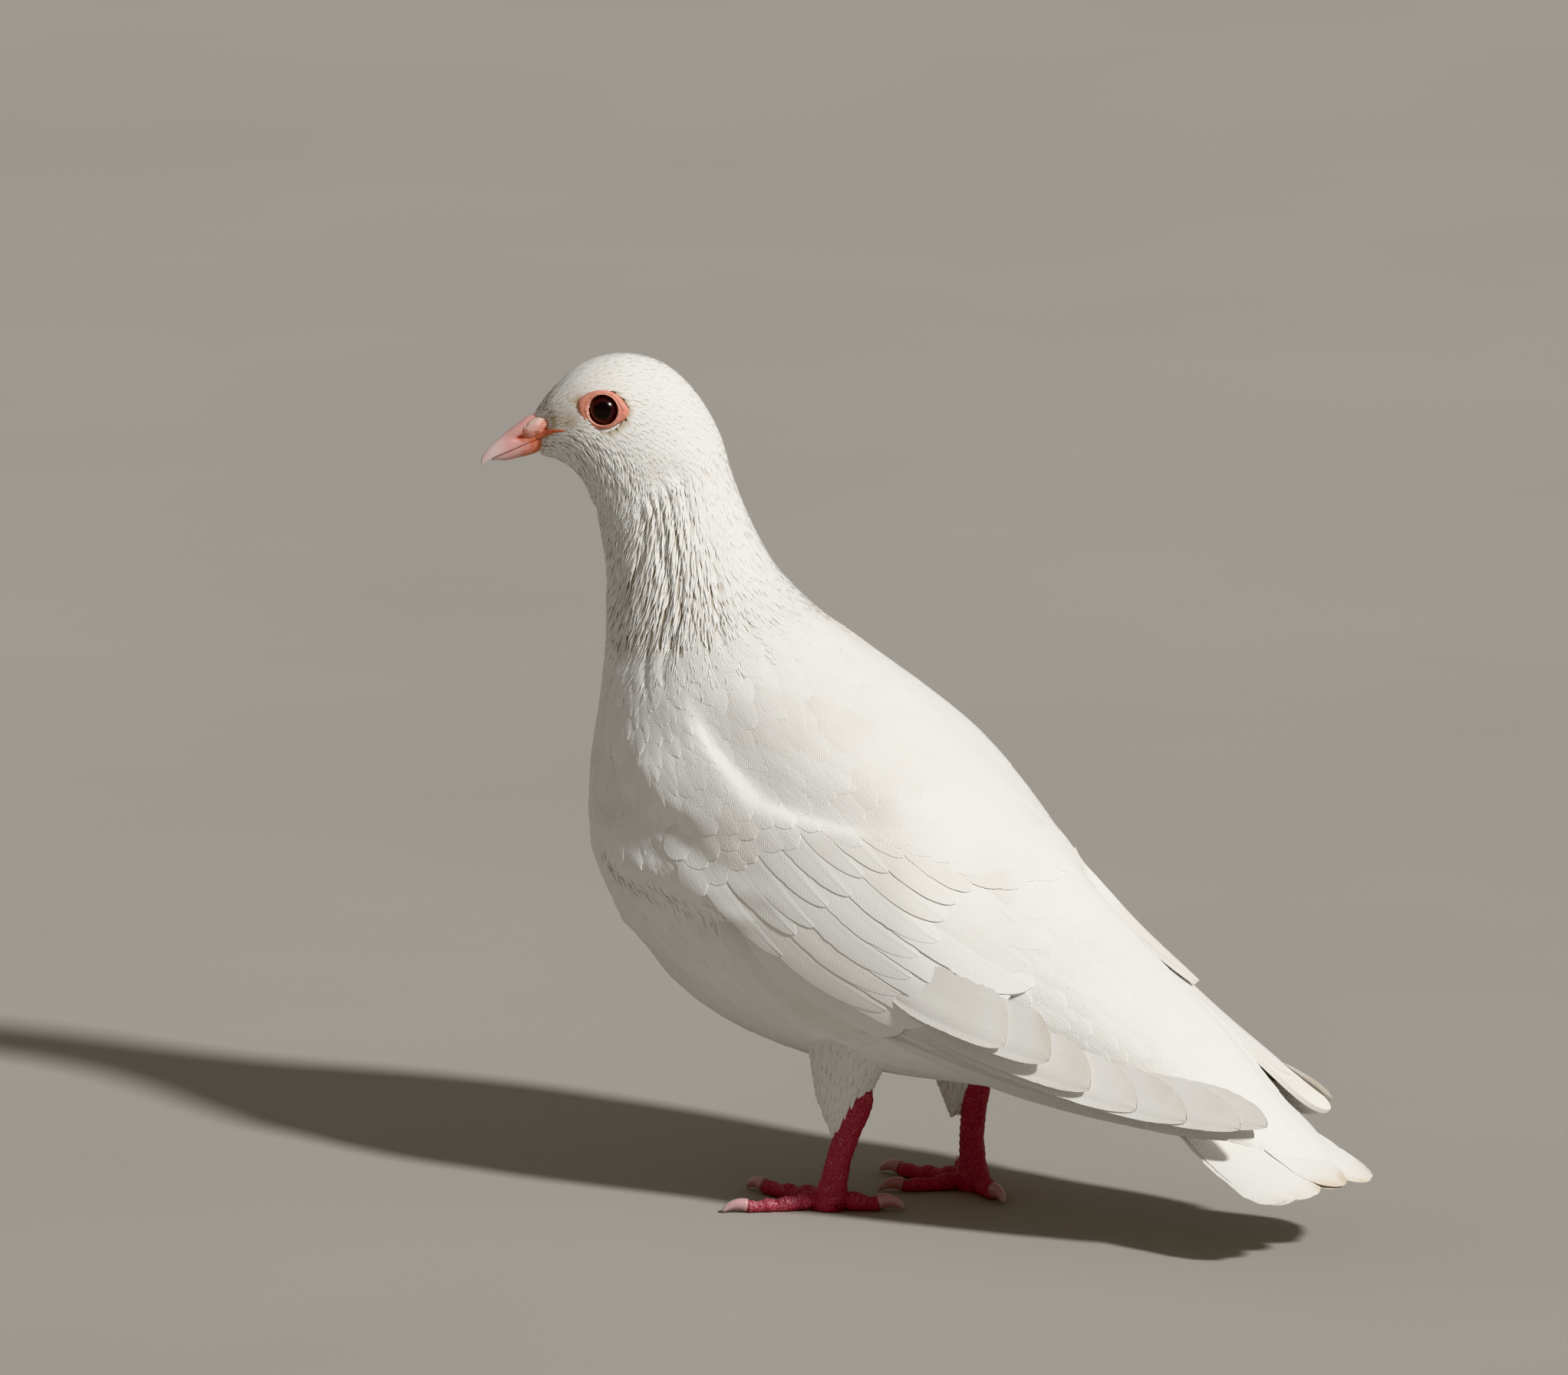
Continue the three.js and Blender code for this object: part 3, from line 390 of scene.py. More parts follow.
def breast_folds(at, degrees):
    """Soft clumps of breast feathers with hollows between them."""
    angle = np.abs(degrees)
    along = ease(at, 10.6, 11.8) * (1 - ease(at, 14.0, 15.2))
    around = ease(angle, 76, 96) * (1 - 0.6 * ease(angle, 130, 170))
    slant = at * 1.5 + angle / 40
    broad = noise((degrees + 180) / 18 + 0.4 * at, slant, 21, 20)
    fine = noise((degrees + 180) / 9 + 0.5 * at, slant * 2.1, 22, 40)
    return along * around * (1.7 * broad + 1.0 * fine)


def far_rump(at, degrees):
    """The right side of the rump lies lower, under the long feathers of the right wing."""
    along = ease(at, 15, 16.2) * (1 - ease(at, 20.4, 21.4))
    around = ease(-degrees, 2, 14) * (1 - ease(-degrees, 70, 90))
    return -FAR_RUMP_DROP * along * around


def shoulder_crease(at, angle):
    """A valley between shoulder and breast: gentle on the wing's side, steep under a bright ridge."""
    off = angle - crease(at)
    valley = np.where(off < 0, bell(off, 0, 11), bell(off, 0, 3))
    strength = ease(at, 10.6, 11.8) * (1 - ease(at, 13.4, 14.5))
    return strength * (CREASE_RIDGE * bell(off, 9, 10) - CREASE_DEEP * valley)


def relief(at, degrees):
    """Height of the living surface over the plain form, in millimetres."""
    at = np.asarray(at, float)
    degrees = folded(degrees)
    angle = np.abs(degrees)
    soft = neck_furrows(at, degrees) + breast_folds(at, degrees) + far_rump(at, degrees)
    lore = -1.0 * (1 - ease(at, 0.3, 1.2)) * bell(angle, 78, 24)
    return shoulder_crease(at, angle) + soft + lore


def coat_depth(at):
    """How far the skin lies under the outer form."""
    return np.interp(at, (0, 2, 6, 9, 12, LAST_RIB), (0.6, 0.8, 1.1, 1.2, 1.4, 1.4))


def plain_body(at, degrees, lift=0.0):
    """The plain form raised by lift."""
    points = body_form(at, degrees)
    return points + body_normal(at, degrees) * np.asarray(lift + 0 * points[..., 0])[..., None]


def body(at, degrees, lift=0.0):
    """The living surface without the wings: the plain form with its folds, raised by lift."""
    return plain_body(at, degrees, lift + relief(at, degrees))


def wing_cover(at, degrees, lift=0.0):
    """The outer surface of the folded wings."""
    return body(at, degrees, lift + wing_mound(at, np.abs(folded(degrees))))


def front_cover(at, degrees, lift=0.0):
    """The surface of breast and belly, which laps over the wing's front edge and runs under its rear."""
    share = 1 - ease(at, 13.2, 14.6)
    return body(at, degrees, lift + share * wing_mound(at, np.abs(folded(degrees))))


# Faint marks: rib position, degrees, how far they reach along and round the body, and strength. Those
# of the lores are on both sides.
LORE_STAINS = ((1.35, 84, 0.35, 7, 0.85), (0.9, 74, 0.4, 10, 0.5))
STAINS = (
    (1.55, 62, 0.22, 5, 0.9), (14.1, -4, 0.2, 3, 0.4), (13.0, 80, 0.35, 5, 0.3), (14.4, 96, 0.4, 5, 0.25),
    (11.9, 40, 0.9, 22, 0.10), (15.2, 72, 0.8, 14, 0.16), (13.2, 52, 0.5, 8, 0.22),
)


def stain_and_shade_at(at, degrees):
    """The same faint marks on skin and coat: an ochre touch on brow, back and wing, and a dusty tail; the
    underside of breast and belly also gets a painted shade.
    """
    degrees = folded(degrees)
    angle = np.abs(degrees)

    def spots(table, around):
        return sum(strength * bell(at, a, long) * bell(around, d, wide)
                   for a, d, long, wide, strength in table)

    marks = spots(STAINS, degrees) + spots(LORE_STAINS, angle)
    cloudy = 0.12 * ease(noise((degrees + 180) / 24, np.asarray(at) * 0.8, 31, 15), 0.1, 0.9)
    # Painted shade: the underside from breast to belly is tinted a little towards the ochre mark colour.
    belly = 0.12 * ease(angle, 110, 170) * ease(at, 12, 16)
    return np.clip(marks + cloudy + belly + 0 * np.asarray(at), 0, 1)


def thigh_surface(foot):
    """The feathered thigh as a surface: 0 at its top to 1 at its point, and degrees round it."""
    ankle_x, ankle_y, ankle_z = foot["ankle"]
    knots = np.array(THIGH, float)
    shares = (knots[0, 1] - knots[:, 1]) / (knots[0, 1] - knots[-1, 1])

    def bare(height, degrees):
        before, above, long, wide = (np.interp(height, shares, knots[:, k]) for k in range(4))
        a = np.radians(degrees)
        x = ankle_x - before + long * np.cos(a)
        return np.stack([x, ankle_y - wide * np.sin(a), ankle_z + above + 0.15 * long * np.cos(a)], -1)

    def surface(height, degrees, lift=0.0):
        height, degrees = np.broadcast_arrays(np.asarray(height, float), np.asarray(degrees, float))
        points = bare(height, degrees)
        down = bare(height + 0.02, degrees) - bare(height - 0.02, degrees)
        around = bare(height, degrees + 2) - bare(height, degrees - 2)
        return points + unit(np.cross(around, down)) * np.asarray(lift + 0 * height)[..., None]

    return surface


# ---- meshes ----


def make_object(name, points, faces, material, smooth=True):
    """A mesh object from points in millimetres and faces, which are arrays of like-sided faces."""
    mesh = bpy.data.meshes.new(name)
    mesh.vertices.add(len(points))
    mesh.vertices.foreach_set("co", to_frame(points).astype(np.float32).ravel())
    corners = np.concatenate([np.asarray(f, np.int32).ravel() for f in faces])
    sizes = np.concatenate([np.full(len(f), len(f[0]), np.int32) for f in faces])
    mesh.loops.add(len(corners))
    mesh.loops.foreach_set("vertex_index", corners)
    mesh.polygons.add(len(sizes))
    mesh.polygons.foreach_set("loop_start", np.concatenate([[0], np.cumsum(sizes)[:-1]]).astype(np.int32))
    mesh.polygons.foreach_set("use_smooth", np.ascontiguousarray(np.broadcast_to(smooth, len(sizes))))
    mesh.update(calc_edges=True)
    mesh.validate()
    mesh.materials.append(material)
    obj = bpy.data.objects.new(name, mesh)
    bpy.context.scene.collection.objects.link(obj)
    return obj


def set_map(obj, name, coordinates):
    """A UV map from one coordinate pair for each vertex."""
    mesh = obj.data
    index = np.empty(len(mesh.loops), np.int32)
    mesh.loops.foreach_get("vertex_index", index)
    layer = mesh.uv_layers.new(name=name)
    layer.data.foreach_set("uv", coordinates[index].astype(np.float32).ravel())


def set_value(obj, name, values):
    attribute = obj.data.attributes.new(name, "FLOAT", "POINT")
    attribute.data.foreach_set("value", np.asarray(values, np.float32).ravel())


def settle(obj, slot, *nodes):
    """Makes a finished piece ride on the body and stand for its CAD nodes, which it hides; slot is not
    used.
    """
    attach(obj, "root")
    if nodes:
        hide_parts(*nodes)
    return obj


def make_piece(name, shell, material, slot, *nodes, **values):
    """A finished piece from its points and faces, with its named point values."""
    obj = make_object(name, *shell, material)
    for value_name, value in values.items():
        set_value(obj, value_name, value)
    return settle(obj, slot, *nodes)


def loft(rings, caps=True):
    """Points and faces of a tube through rings (rows, points, 3), closed by flat caps."""
    rows, count, _ = rings.shape
    index = np.arange(rows * count).reshape(rows, count)
    beside = np.roll(index, -1, 1)
    quads = np.stack([index[:-1], beside[:-1], beside[1:], index[1:]], -1).reshape(-1, 4)
    faces = [quads]
    if caps:
        faces += [index[:1, ::-1], index[-1:]]
    return rings.reshape(-1, 3), faces


def join(*shells):
    """Several (points, faces) as one."""
    points, faces, start = [], [], 0
    for shell_points, shell_faces in shells:
        points.append(shell_points)
        faces += [np.asarray(f) + start for f in shell_faces]
        start += len(shell_points)
    return np.concatenate(points), faces


# ---- vanes ----


def form_width(form, t):
    """A vane's width at shares t of its length, as a share of its full width."""
    root, full, tip, power, round_off = FORMS[form]
    past = np.clip((t - tip) / (1 - tip), 0, 1)
    return mix(root, 1, ease(t, 0, full)) * np.maximum(1 - past**power, 0.0015) ** round_off


def stations(count, crowding=1.3):
    """Shares along a vane, closer together towards its tip."""
    return 1 - (1 - np.linspace(0, 1, count)) ** crowding


def slopes(surface, a, b):
    """How the surface moves for one step of each of its two coordinates."""
    here = surface(a, b, 0.0)
    return (surface(a + 0.02, b, 0.0) - here) / 0.02, (surface(a, b + 0.5, 0.0) - here) / 0.5


def solve(along_a, along_b, goal):
    """The coordinate steps that move a point of the surface by goal."""
    aa, ab, bb = dot(along_a, along_a), dot(along_a, along_b), dot(along_b, along_b)
    ga, gb = dot(along_a, goal), dot(along_b, goal)
    scale = np.maximum(aa * bb - ab * ab, 1e-9)
    return (bb * ga - ab * gb) / scale, (aa * gb - ab * ga) / scale


def tips_from(surface, roots, length, heading):
    """Tips of feathers that lie along the surface; heading is degrees off its first coordinate."""
    step_a, step_b = slopes(surface, roots[:, 0], roots[:, 1])
    ahead = unit(step_a)
    beside = np.cross(unit(np.cross(step_b, step_a)), ahead)
    turn = np.radians(heading)[:, None]
    goal = (np.cos(turn) * ahead + np.sin(turn) * beside) * length[:, None]
    return roots + np.stack(solve(step_a, step_b, goal), -1)


def clumped(roots, tips, wide, long, pull, seed):
    """Tips drawn together in clumps, and how near each feather lies to its clump's middle."""
    row = np.floor(roots[:, 0] / long)
    shift = 0.5 * lattice(row, 0 * row, seed)
    cell = np.floor(roots[:, 1] / wide + shift)
    centre = (cell + 0.5 + 0.3 * lattice(cell, row, seed + 1) - shift) * wide
    off = roots[:, 1] - centre
    drawn = tips - np.stack([0 * off, pull * off], -1)
    return drawn, 1 - np.clip(2 * np.abs(off) / wide, 0, 1) ** 2


def roots_over(surface, a_range, b_range, row, column, rng, jitter=0.22):
    """Roots in staggered rows over a patch; row and column are spacings in millimetres."""
    a_line = np.linspace(*a_range, 160)
    spine = surface(a_line, np.full(160, sum(b_range) / 2), 0.0)
    run = np.concatenate([[0], np.cumsum(np.linalg.norm(np.diff(spine, axis=0), axis=1))])
    rows = max(int(run[-1] / row), 1) + 1
    found = []
    for k, a in enumerate(np.interp(np.linspace(0, run[-1], rows), run, a_line)):
        b_line = np.linspace(*b_range, 121)
        across = surface(np.full(121, a), b_line, 0.0)
        wide = np.concatenate([[0], np.cumsum(np.linalg.norm(np.diff(across, axis=0), axis=1))])
        count = max(int(wide[-1] / column), 1)
        place = (np.arange(count) + 0.5 * (k % 2) + 0.25 + jitter * rng.uniform(-1, 1, count)) / count
        b = np.interp(place * wide[-1], wide, b_line)
        step = (a_range[1] - a_range[0]) / rows
        found.append(np.stack([a + step * jitter * rng.uniform(-1, 1, count), b], -1))
    return np.concatenate(found)


class Coat:
    """Gathers many vanes, each closed by a top and an under side, into one mesh."""

    def __init__(self, seed):
        self.rng = np.random.default_rng(seed)
        self.points, self.faces, self.smooth = [], [], []
        self.patches, self.vanes, self.depths, self.picks, self.stain_and_shade_values = [], [], [], [], []
        self.total = 0

    def add(self, top, up, across, along, t, s, patch, stain_and_shade, thick, skirt=0.0):
        """Adds vanes given as (count, stations, lanes, 3) points, with up for each station.

        A skirt is a low wall down from a vane's rim, which closes the gap to the vane under it.
        """
        count, rows, lanes, _ = top.shape
        if skirt:
            place = np.pad(np.linspace(0, lanes - 1, lanes - 2), 1, mode="edge")
            lane = np.minimum(place.astype(int), lanes - 2)
            base = mix(top[:, :, lane], top[:, :, lane + 1], (place - lane)[:, None])
            inside = np.pad(np.ones(lanes - 2), 1)
            depth = skirt * ease(t, 0, 0.2)[None, :, None] * inside
        else:
            base = top
            body_share = ease(t, 0, 0.12) * (1 - ease(t, 0.86, 1))
            depth = thick * body_share[None, :, None] * (1 - s[None, None, :] ** 2)
        under = base - up[:, :, None, :] * depth[..., None]
        cell = np.arange(rows * lanes).reshape(rows, lanes)
        quad = np.stack([cell[:-1, :-1], cell[1:, :-1], cell[1:, 1:], cell[:-1, 1:]], -1).reshape(-1, 4)
        both = np.concatenate([quad, quad[:, ::-1] + rows * lanes])
        offsets = self.total + np.arange(count)[:, None, None] * (2 * rows * lanes)
        self.faces.append((both[None] + offsets).reshape(-1, 4))
        self.smooth.append(np.tile(np.repeat([True, False], len(quad)), count))
        self.points.append(np.stack([top, under], 1).reshape(-1, 3))
        self.total += count * 2 * rows * lanes
        local = np.stack(np.broadcast_arrays(s[None, :] / 2, t[:, None] - 0.5), -1) * PATCH
        shape = (count, 2, rows, lanes)
        places = patch[:, None, None, :] + local
        self.patches.append(np.broadcast_to(places[:, None], (*shape, 2)).reshape(-1, 2))
        own = np.stack(np.broadcast_arrays(across, along), -1)
        self.vanes.append(np.broadcast_to(own[:, None], (*shape, 2)).reshape(-1, 2))
        self.depths.append(np.broadcast_to(t[None, None, :, None], shape).ravel())
        pick = self.rng.uniform(-1, 1, count)
        self.picks.append(np.broadcast_to(pick[:, None, None, None], shape).ravel())
        self.stain_and_shade_values.append(np.broadcast_to(stain_and_shade[:, None], shape).ravel())

    def lay(self, surface, roots, tips, half, lifts, form, rows, lanes, camber, roll=0.0, ragged=0.0,
            wave=0.0, thick=0.18, rise=1.0, patch=None, stain_and_shade=None, ridge=0.0, notch=0.0, skirt=0.0):
        """Vanes that lie on a surface from roots to tips, given in the surface's two coordinates.

        half is the half width and lifts the heights of root and tip over the surface, reached the
        sooner the less rise is. camber is the fall of both edges, roll the tilt, ragged the
        unevenness of the tip, wave a sideways wander, ridge the height of the shaft, notch how far
        the edges are split, and skirt the depth of the rim.
        """
        count = len(roots)
        rng = self.rng
        t, s = stations(rows), np.linspace(-1, 1, lanes)
        run = tips - roots
        line = roots[:, None, :] + run[:, None, :] * t[None, :, None]
        step_a, step_b = slopes(surface, line[..., 0], line[..., 1])
        ahead = step_a * run[:, None, :1] + step_b * run[:, None, 1:]
        length = np.linalg.norm(ahead, axis=-1).mean(1)
        up = unit(np.cross(step_b, step_a))
        beside = np.cross(up, unit(ahead))
        side_a, side_b = solve(step_a, step_b, beside)
        half = np.broadcast_to(half, count)
        width = form_width(form, t)[None, :] * half[:, None]
        if notch:
            width = width * (1 - notch * rng.random((count, rows)) ** 3 * ease(t, 0.3, 0.6))
        sway = wave * np.sin(rng.uniform(0, 6.28, (count, 1)) + 5.5 * t[None, :]) * t[None, :]
        across = width[..., None] * s
        pull = ragged * rng.random((count, 1, lanes)) * (t**3 * (1 - t**6))[None, :, None]
        shifted = across + sway[..., None]
        a = line[..., 0, None] + side_a[..., None] * shifted - run[:, None, None, 0] * pull
        b = line[..., 1, None] + side_b[..., None] * shifted - run[:, None, None, 1] * pull
        low, high = (np.broadcast_to(np.asarray(v, float), count)[:, None] for v in lifts)
        height = mix(low, high, t[None, :] ** rise)[..., None]
        height = height + np.broadcast_to(roll, count)[:, None, None] * across
        height = height - camber * width[..., None] * s**2 + ridge * (1 - ease(np.abs(s), 0, SHAFT))
        top = surface(a, b, height)
        patch = body_patch(roots) if patch is None else patch
        stain_and_shade = stain_and_shade_at(roots[:, 0], roots[:, 1])[:, None, None] if stain_and_shade is None else stain_and_shade
        stain_and_shade = np.broadcast_to(stain_and_shade, (count, rows, lanes))
        along = (t[None, :, None] - pull) * length[:, None, None]
        self.add(top, up, across, along, t, s, patch, stain_and_shade, thick, skirt)

    def blade(self, path, up, outer, inner, hand, form, falls, dusty, patch, roll=0.0, lanes=11,
              thick=0.35, notch=0.05):
        """One stiff feather along a path.

        outer and inner are the half widths of its webs, and falls how far they bend down.
        """
        rng = self.rng
        rows = len(path)
        t = stations(rows, 1.5)
        s = np.sin(np.linspace(-1, 1, lanes) * math.pi / 2) * 0.35 + np.linspace(-1, 1, lanes) * 0.65
        along = unit(np.gradient(path, axis=0))
        flat = unit(np.cross(along, up)) * hand
        away = np.cross(flat, along)
        away = away * np.sign(dot(away, up))[:, None]
        tilt = math.radians(roll)
        side = flat * math.cos(tilt) + away * math.sin(tilt)
        rise = away * math.cos(tilt) - flat * math.sin(tilt)
        width = form_width(form, t)
        edge = np.stack([1 - notch * rng.random(rows) ** 4 - 0.02 * rng.random(rows) for _ in range(2)])
        scale = np.where(s[None, :] > 0, outer * edge[0][:, None], inner * edge[1][:, None])
        across = s[None, :] * width[:, None] * scale
        fall = np.where(s > 0, falls[0], falls[1])[None, :] * width[:, None] * np.abs(s[None, :]) ** 1.6
        quill = 0.3 * (1 - ease(np.abs(s), 0.0, 0.14))[None, :] * (1 - 0.7 * t[:, None])
        top = path[:, None] + side[:, None] * across[..., None] + rise[:, None] * (quill - fall)[..., None]
        if hand < 0:
            top, across, s = top[:, ::-1], across[:, ::-1], -s[::-1]
        length = np.linalg.norm(np.diff(path, axis=0), axis=1).sum()
        stain_and_shade = 0.06 + dusty * ease(t[:, None] + 0.08 * np.abs(s), 0.9, 1.04)
        self.add(top[None], rise[None], across[None], (t * length)[None, :, None], t, s,
                 np.array([patch]), stain_and_shade[None], thick)

    def build(self, name, material, slot, *nodes):
        """The finished mesh object."""
        obj = make_object(name, np.concatenate(self.points), [np.concatenate(self.faces)], material,
                          np.concatenate(self.smooth))
        set_map(obj, "OFBake", np.concatenate(self.patches))
        set_map(obj, "Vane", np.concatenate(self.vanes))
        set_value(obj, "depth", np.concatenate(self.depths))
        set_value(obj, "pick", np.concatenate(self.picks))
        set_value(obj, "stain_and_shade", np.concatenate(self.stain_and_shade_values))
        return settle(obj, slot, *nodes)


def body_patch(places):
    """Places on the skin in its unwrap: round the body across, from bill to tail upwards."""
    across = (folded(places[..., 1]) + 180) / 360
    upwards = np.clip(places[..., 0] / (LAST_RIB + 2), 0, 1)
    return np.stack([0.01 + 0.98 * across, 0.01 + 0.98 * upwards], -1)


# ---- shared shader groups ----


def new_group(name, inputs, outputs):
    """A shader node group with named sockets, and its input and output nodes."""
    tree = bpy.data.node_groups.new(name, "ShaderNodeTree")
    for socket, kind, value in inputs:
        made = tree.interface.new_socket(socket, in_out="INPUT", socket_type=kind)
        made.default_value = value
    for socket, kind in outputs:
        tree.interface.new_socket(socket, in_out="OUTPUT", socket_type=kind)
    return tree, tree.nodes.new("NodeGroupInput"), tree.nodes.new("NodeGroupOutput")


class Nodes:
    """Short calls for adding linked nodes to a tree."""

    def __init__(self, tree):
        self.tree = tree

    def node(self, kind, **settings):
        made = self.tree.nodes.new(kind)
        for key, value in settings.items():
            setattr(made, key, value)
        return made

    def link(self, source, target):
        self.tree.links.new(source, target)

    def feed(self, target, value):
        """Links a socket, or sets a plain value."""
        if isinstance(value, bpy.types.NodeSocket):
            self.link(value, target)
        else:
            target.default_value = value

    def math(self, operation, a, b=0.0, clamp=False):
        made = self.node("ShaderNodeMath", operation=operation, use_clamp=clamp)
        self.feed(made.inputs[0], a)
        self.feed(made.inputs[1], b)
        return made.outputs[0]

    def plus(self, a, b):
        return self.math("ADD", a, b)

    def times(self, a, b, clamp=False):
        return self.math("MULTIPLY", a, b, clamp)

    def blend(self, share, a, b, kind="MIX"):
        made = self.node("ShaderNodeMix", data_type="RGBA", blend_type=kind)
        self.feed(made.inputs["Factor"], share)
        self.feed(made.inputs[6], a)
        self.feed(made.inputs[7], b)
        return made.outputs[2]

    def place(self):
        """The spot on the object, in metres."""
        return self.node("ShaderNodeTexCoord").outputs["Object"]

    def attribute(self, name):
        return self.node("ShaderNodeAttribute", attribute_name=name).outputs["Fac"]

    def scaled(self, vector, scale):
        made = self.node("ShaderNodeMapping", vector_type="POINT")
        self.link(vector, made.inputs["Vector"])
        made.inputs["Scale"].default_value = scale
        return made.outputs[0]

    def noise(self, vector, scale, detail, roughness=0.5, distortion=0.0):
        made = self.node("ShaderNodeTexNoise")
        self.link(vector, made.inputs["Vector"])
        for socket, value in (("Scale", scale), ("Detail", detail), ("Roughness", roughness),
                              ("Distortion", distortion)):
            made.inputs[socket].default_value = value
        return made.outputs["Fac"]

    def ramp(self, value, low, high):
        """A value eased from 0 at low to 1 at high."""
        made = self.node("ShaderNodeMapRange", interpolation_type="SMOOTHSTEP")
        self.feed(made.inputs["Value"], value)
        made.inputs["From Min"].default_value = low
        made.inputs["From Max"].default_value = high
        return made.outputs["Result"]

    def group(self, tree, **values):
        made = self.node("ShaderNodeGroup", node_tree=tree)
        for name, value in values.items():
            self.feed(made.inputs[name.replace("_", " ")], value)
        return made


def feather_fibre_group():
    """Height of a feather's barbs: fine strands along it and slanting lines from its shaft."""
    tree, given, made = new_group(
        "Feather Fibre",
        [("Strand", "NodeSocketFloat", 0.6), ("Barb", "NodeSocketFloat", 0.4),
         ("Pitch", "NodeSocketFloat", 1.0)],
        [("Height", "NodeSocketFloat")],
    )
    n = Nodes(tree)
    place = n.node("ShaderNodeUVMap", uv_map="Vane").outputs[0]
    strands = n.noise(n.scaled(place, (2.1, 0.28, 1)), scale=1.0, detail=3.0, roughness=0.6, distortion=0.3)
    clumps = n.noise(n.scaled(place, (0.7, 0.12, 1)), scale=1.0, detail=2.0)
    parts = n.node("ShaderNodeSeparateXYZ")
    n.link(place, parts.inputs[0])
    off_shaft = n.times(n.math("ABSOLUTE", parts.outputs["X"]), 1.1)
    slant = n.math("SUBTRACT", parts.outputs["Y"], off_shaft)
    phase = n.times(n.plus(slant, n.times(clumps, 1.6)), 2 * math.pi)
    barbs = n.math("SINE", n.math("DIVIDE", phase, given.outputs["Pitch"]))
    soft = n.plus(n.times(strands, given.outputs["Strand"]), n.times(barbs, given.outputs["Barb"]))
    n.link(n.plus(soft, n.times(clumps, 0.5)), made.inputs["Height"])
    return tree


def feather_tint_group():
    """Colour of a feather: painted shade towards its root, where it lies under other feathers, faintly
    varied, and with ochre marks in places, which also carry a painted shade under the belly.
    """
    tree, given, made = new_group(
        "Feather Tint",
        [("Clean", "NodeSocketColor", (0.9, 0.9, 0.88, 1)),
         ("Root", "NodeSocketColor", (0.6, 0.56, 0.5, 1)),
         ("Stain", "NodeSocketColor", (0.6, 0.45, 0.28, 1)),
         ("Root Reach", "NodeSocketFloat", 0.5)],
        [("Color", "NodeSocketColor")],
    )
    n = Nodes(tree)
    depth, pick, stain_and_shade = (n.attribute(name) for name in ("depth", "pick", "stain_and_shade"))
    # Painted shade: each feather runs from the Root colour at its root to Clean at Root Reach along it.
    reach = n.node("ShaderNodeMapRange", interpolation_type="SMOOTHSTEP")
    n.link(depth, reach.inputs["Value"])
    n.link(given.outputs["Root Reach"], reach.inputs["From Max"])
    shaded = n.blend(reach.outputs["Result"], given.outputs["Root"], given.outputs["Clean"])
    cloud = n.ramp(n.noise(n.place(), scale=60.0, detail=3.0), 0.35, 0.75)
    # This mask holds the real ochre marks and also the painted shade under the belly.
    marks = n.times(stain_and_shade, n.plus(n.times(cloud, 0.9), 0.4), clamp=True)
    stained_and_shaded = n.blend(marks, shaded, given.outputs["Stain"])
    tone = n.plus(n.times(pick, 0.02), 0.98)
    grey = n.node("ShaderNodeCombineColor")
    for socket in ("Red", "Green", "Blue"):
        n.link(tone, grey.inputs[socket])
    n.link(n.blend(1.0, stained_and_shaded, grey.outputs[0], "MULTIPLY"), made.inputs["Color"])
    return tree


def skin_grain_group():
    """Fine folds and pores of bare skin, as a height and a mask of its raised parts."""
    tree, given, made = new_group(
        "Skin Grain",
        [("Pore Scale", "NodeSocketFloat", 2500.0), ("Fold Scale", "NodeSocketFloat", 700.0)],
        [("Height", "NodeSocketFloat"), ("Raised", "NodeSocketFloat")],
    )
    n = Nodes(tree)
    place = n.place()
    pores = n.node("ShaderNodeTexVoronoi", feature="SMOOTH_F1")
    folds = n.node("ShaderNodeTexNoise")
    for node, socket in ((pores, "Pore Scale"), (folds, "Fold Scale")):
        n.link(place, node.inputs["Vector"])
        n.link(given.outputs[socket], node.inputs["Scale"])
    folds.inputs["Detail"].default_value = 4
    height = n.plus(n.times(pores.outputs["Distance"], 0.45), n.times(folds.outputs["Fac"], 0.7))
    n.link(height, made.inputs["Height"])
    n.link(n.ramp(height, 0.35, 0.75), made.inputs["Raised"])
    return tree


def shared_group(name, maker):
    """A node group, made on its first use."""
    return bpy.data.node_groups.get(name) or maker()


# ---- materials ----


def new_material(name, roughness, **constants):
    """A material, its node calls and its shader, whose steady values are set on the shader itself."""
    material = bpy.data.materials.new(name)
    material.use_nodes = True
    n = Nodes(material.node_tree)
    shader = material.node_tree.nodes["Principled BSDF"]
    shader.inputs["Roughness"].default_value = roughness
    for socket, value in constants.items():
        shader.inputs[socket.replace("_", " ")].default_value = value
    return material, n, shader


def raise_surface(n, shader, height, strength, distance):
    bump = n.node("ShaderNodeBump")
    bump.inputs["Strength"].default_value = strength
    bump.inputs["Distance"].default_value = distance
    n.link(height, bump.inputs["Height"])
    n.link(bump.outputs["Normal"], shader.inputs["Normal"])


def rgba(colour):
    return (*colour, 1)


# Kinds of feather: colour of the roots, painted shade where they lie under other feathers (for coat and
# flight feathers also the down's own grey), and how far up it reaches, height of the strands and of the
# barbs, spacing of the barbs, and strength of their relief.
FEATHERS = {
    "coat_feathers": ("down_and_root_shade", 0.45, 0.8, 0.15, 0.9, 0.45),
    "hackle_feathers": ("shadow", 0.72, 0.9, 0.05, 0.8, 0.5),
    "flight_feathers": ("down_and_root_shade", 0.2, 0.2, 0.4, 0.7, 0.22),
}


